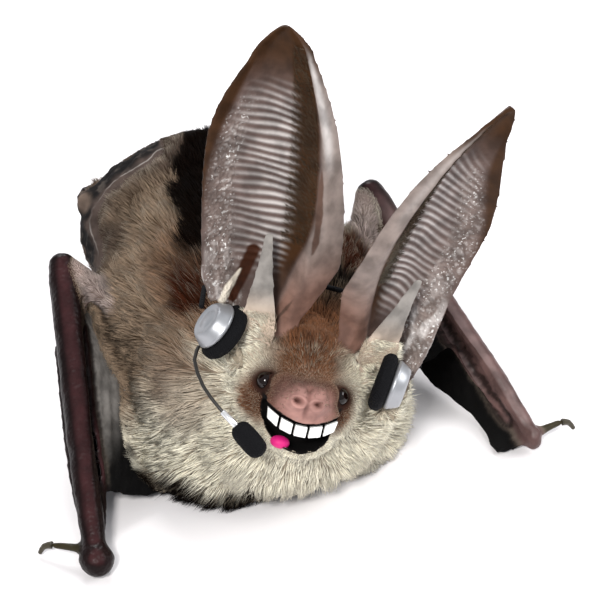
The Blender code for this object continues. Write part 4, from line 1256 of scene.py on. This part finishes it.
def build_coat(mesh, masks):
    """Covers the skin's mesh with tufts, in pieces from front to back."""
    corners = values_of(mesh.vertices, "co")
    normals = values_of(mesh.vertex_normals, "vector")
    grooved = (masks["ear_groove"] > 0.5) * (masks["ear_u"] > 0.28)
    fringe = masks["ear"] * masks["ear_front"] * grooved
    lengths = np.maximum(masks["length"], fringe * FRINGE_LENGTH * MM)
    weights = np.where(lengths > SHORTEST, 1 / np.maximum(lengths / MM, 0.9), 0)
    weights = weights * (1 - masks["bare"]) ** 2
    stubble = np.maximum(masks["ear"], masks["tragus"]) > 0.3
    weights = np.where(stubble & (lengths < 0.9 * MM), 0, weights)
    weights = np.where(fringe > 0.5, FRINGE_SHARE, weights)
    picked, shares = sample_skin(mesh, corners, weights)

    def spread(values):
        if values.ndim == 1:
            return (values[picked] * shares).sum(axis=1)
        return (values[picked] * shares[:, :, None]).sum(axis=1)

    root, out = spread(corners), unit(spread(normals))
    stray = np.stack([wavy(root / MM, 3.5, seed) for seed in (31, 32, 33)], axis=1)
    wayward = random.normal(size=root.shape) * WAYWARD
    way = along_skin(unit(lie_of_coat(root, out) + wayward + STRAY * stray), out)
    length = spread(lengths) * random.uniform(*LENGTHS, TUFTS)
    lift = np.radians(random.uniform(*LIFTS, TUFTS))
    slender = 0.55 + 0.45 * np.clip(length / (3 * MM), 0, 1)
    width = TUFT_WIDTH * random.uniform(*WIDTHS, TUFTS) * slender
    shape = gathered(tuft_corners(root, way, out, length, width, lift), root, length)
    shape[:, :, 2] = np.maximum(shape[:, :, 2], MARGIN)
    shape = np.clip(shape, BOX_LOW + MARGIN, BOX_HIGH - MARGIN)
    values = {name: spread(masks[name]) for name in COAT_COLOURS if name != "brown"}
    values["dark"] = np.maximum(values["dark"], spread(fringe * 0.8))
    clump = wavy(root / MM, 2.2, 5) * 0.09 + wavy(root / MM, 0.9, 6) * 0.08
    streak = wavy(root / MM * np.array((1.0, 0.45, 0.7)), 2.4, 7) * 0.16
    streak = streak * (1 - 0.75 * values["cream"])
    values["shade"] = np.maximum(random.uniform(*SHADES, TUFTS) + clump + streak, 0.35)
    covered = np.maximum(values["dark"], values["lid"])
    tipped = random.uniform(*TIPS, TUFTS) * (1 - covered)
    values["tipped"] = tipped * (1 - 0.7 * values["rust"])
    material = coat_material()
    order = np.argsort(root[:, 1])
    per_piece = MOST_TRIANGLES // len(TUFT_FACES)
    for number, start in enumerate(range(0, TUFTS, per_piece), 1):
        rows = order[start : start + per_piece]
        part = {name: value[rows] for name, value in values.items()}
        add_coat_piece(f"coat_{number}", shape[rows], part, root[rows], material)


def unwrapped(root):
    """Places of the roots on a flat map of the trunk: round its long axis, and along it."""
    x, z = TRUNK
    around = np.arctan2(root[:, 0] - x, z - root[:, 2]) / (2 * math.pi) + 0.5
    along = root[:, 1]
    along = (along - along.min()) / np.ptp(along)
    return np.stack([around, along], axis=1) * 0.99 + UV_PATCH


def add_coat_piece(name, shape, values, root, material):
    count, size = shape.shape[:2]
    faces = np.arange(count)[:, None, None] * size + np.array(TUFT_FACES)
    faces = faces.reshape(-1, 3)
    mesh = bpy.data.meshes.new(name)
    mesh.vertices.add(count * size)
    mesh.vertices.foreach_set("co", shape.ravel())
    mesh.loops.add(faces.size)
    mesh.loops.foreach_set("vertex_index", faces.ravel())
    mesh.polygons.add(len(faces))
    mesh.polygons.foreach_set("loop_start", np.arange(len(faces)) * 3)
    mesh.update(calc_edges=True)
    along = np.tile(ALONG, count)
    set_floats(mesh, "along", along)
    for key, value in values.items():
        set_floats(mesh, key, np.repeat(value, size))
    around = np.tile((0, 0.5, 1, 0, 0.5, 1, 0.5), count)
    spots = np.repeat(unwrapped(root), size, axis=0)
    spots = spots + np.stack([around, along], axis=1) * UV_PATCH
    uv = mesh.uv_layers.new(name="OFBake")
    uv.data.foreach_set("uv", spots[faces.ravel()].astype(np.float32).ravel())
    add_piece(name, mesh, material)


# -------- eyes, teeth, claws, headset

# As in the solids: the middle of each ear pad and the way it faces out
PADS = {
    "right": ((-10.3, 1.4, 4.4), (-0.87, -0.25, 0.42)),
    "left": ((9.0, 0.2, 2.9), (0.98, -0.15, -0.10)),
}
# A cup's distance along its axis and radius, from its rim beside the pad to its outer middle
CUP_PROFILE = (
    (0.98, 0.02), (0.98, 2.75), (1.06, 2.9), (1.30, 2.98), (1.42, 2.98), (1.50, 2.90),
    (1.62, 2.84), (1.9, 2.72), (2.3, 2.52), (2.62, 2.32), (2.74, 2.16), (2.76, 1.95),
    (2.68, 1.86), (2.66, 1.2), (2.70, 1.1), (2.76, 1.0), (2.78, 0.02),
)
BOOM_START, BOOM_END, CAPSULE_START = (-12.7, 1.3, 2.7), (-8.2, -4.2, -4.2), (-7.55, -4.5, -4.6)
PAD_FOOT = (-11.3, 1.0, 1.6)
CAPSULE = ((-7.2, -4.6, -4.7), (-5.3, -4.9, -6.1), (-3.4, -5.1, -7.5))
CAPSULE_RADII = (0.95, 1.25, 1.3, 1.25, 1.0)
CAPSULE_ROUNDING = 0.8
TONGUE, TONGUE_RADII = (-1.6, -3.35, -5.95), (1.15, 1.1, 0.75)


def foam_material():
    nodes = Nodes("foam")
    bump = nodes.bump(nodes.cells(3800), 0.00015, 0.8)
    black = (0.004, 0.004, 0.005)
    return nodes.finish(Base_Color=black, Roughness=0.85, Normal=bump, Specular_IOR_Level=0.12)


def finish_hard_parts():
    """Rounds the facets of the nodes that stay and paints them."""
    looks = {  # by the start of a node's name: material, voxel in millimetres, smoothing rounds
        "tooth_": (plain("tooth", (0.90, 0.90, 0.88), 0.15), 0.09, 3),
        "thumb_claw_": (plain("claw", (0.035, 0.028, 0.014), 0.35), 0.07, 3),
        "ear_pad_": (foam_material(), 0.13, 10),
        "headband": (foam_material(), 0.10, 4),
        "mic_boom": (plain("headset_wire", (0.02, 0.018, 0.016), 0.35, 0.3), 0.07, 3),
    }
    for start, (material, voxel, rounds) in looks.items():
        for node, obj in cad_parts.items():
            if node.startswith(start):
                remesh = obj.modifiers.new("rounded", "REMESH")
                remesh.mode = "VOXEL"
                remesh.voxel_size = voxel * MM
                remesh.use_smooth_shade = True
                smooth = obj.modifiers.new("smoothed", "SMOOTH")
                smooth.factor = 0.5
                smooth.iterations = rounds
                obj.data.materials.clear()
                obj.data.materials.append(material)


def add_tongue():
    """The tip of the tongue, rounded, just behind the lower lip."""
    bm = bmesh.new()
    add_ball(bm, TONGUE, TONGUE_RADII, detail=5)
    pink = plain("tongue_tip", (0.62, 0.004, 0.17), 0.6)
    piece = add_piece("tongue_tip", bm, pink)
    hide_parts("tongue")


def add_capsule():
    """The microphone's capsule, a bent rod with rounded ends."""
    steps = np.linspace(0, 1, 25)
    points = np.stack([blend_values(axis, steps) for axis in np.array(CAPSULE).T], axis=1)
    to_end = np.minimum(steps, 1 - steps) * np.linalg.norm(points[-1] - points[0])
    inward = 1 - np.clip(to_end / CAPSULE_ROUNDING, 0, 1)
    radii = blend_values(CAPSULE_RADII, steps) * np.sqrt(np.clip(1 - inward**2, 0.004, 1))
    bm = bmesh.new()
    add_rod(bm, points, radii, 32)
    piece = add_piece("capsule", bm, foam_material())
    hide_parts("microphone")


def add_headset_trim():
    """Turned cups, the capsule's collar and the boom's link to its pad."""
    for side_name, (centre, axis) in PADS.items():
        axis = Vector(axis).normalized()
        turn = axis.to_track_quat("Z", "Y").to_matrix()
        rings = [(Vector(centre) + axis * along, turn, radius) for along, radius in CUP_PROFILE]
        bm = bmesh.new()
        add_rings(bm, rings, 64)
        silver = plain("brushed_silver", (0.36, 0.37, 0.39), 0.4, 0.7)
        piece = add_piece("cup_" + side_name, bm, silver)
        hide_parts("ear_cup_" + side_name)
    add_capsule()
    start, end = Vector(BOOM_END), Vector(CAPSULE_START)
    collar = [start.lerp(end, t) for t in (-1.1, -1, 1.7, 1.8)]
    link = (BOOM_START, Vector(BOOM_START).lerp(Vector(PAD_FOOT), 0.5), PAD_FOOT)
    rods = {
        "silver": (collar, (0.3, 0.38, 0.38, 0.3), 20, (0.80, 0.81, 0.82), 0.25, 0.7),
        "black": (link, (0.26, 0.3, 0.26), 12, (0.02, 0.02, 0.022), 0.35, 0.0),
    }
    for tone, (points, radii, sides, *look) in rods.items():
        bm = bmesh.new()
        add_rod(bm, points, radii, sides)
        name = "headset_trim_" + tone
        add_piece(name, bm, plain(name, *look))


def add_eyes():
    """Round, dark and glossy eyes in place of the faceted ones."""
    black = (0.006, 0.0025, 0.002)
    glossy = Nodes("eye").finish(Base_Color=black, Roughness=0.06, Specular_IOR_Level=0.35)
    for side_name in SIDES:
        low, high = (np.array(corner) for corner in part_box("eye_" + side_name))
        bm = bmesh.new()
        place = Matrix.Translation(Vector((low + high) / 2))
        radius = float((high - low).min()) / 2
        bmesh.ops.create_icosphere(bm, subdivisions=5, radius=radius, matrix=place)
        piece = add_piece("eyeball_" + side_name, bm, glossy)
        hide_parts("eye_" + side_name)


add_camera()
add_studio()
finish_hard_parts()
add_eyes()
add_tongue()
add_headset_trim()
add_toe_claws()
build_coat(*build_skin())
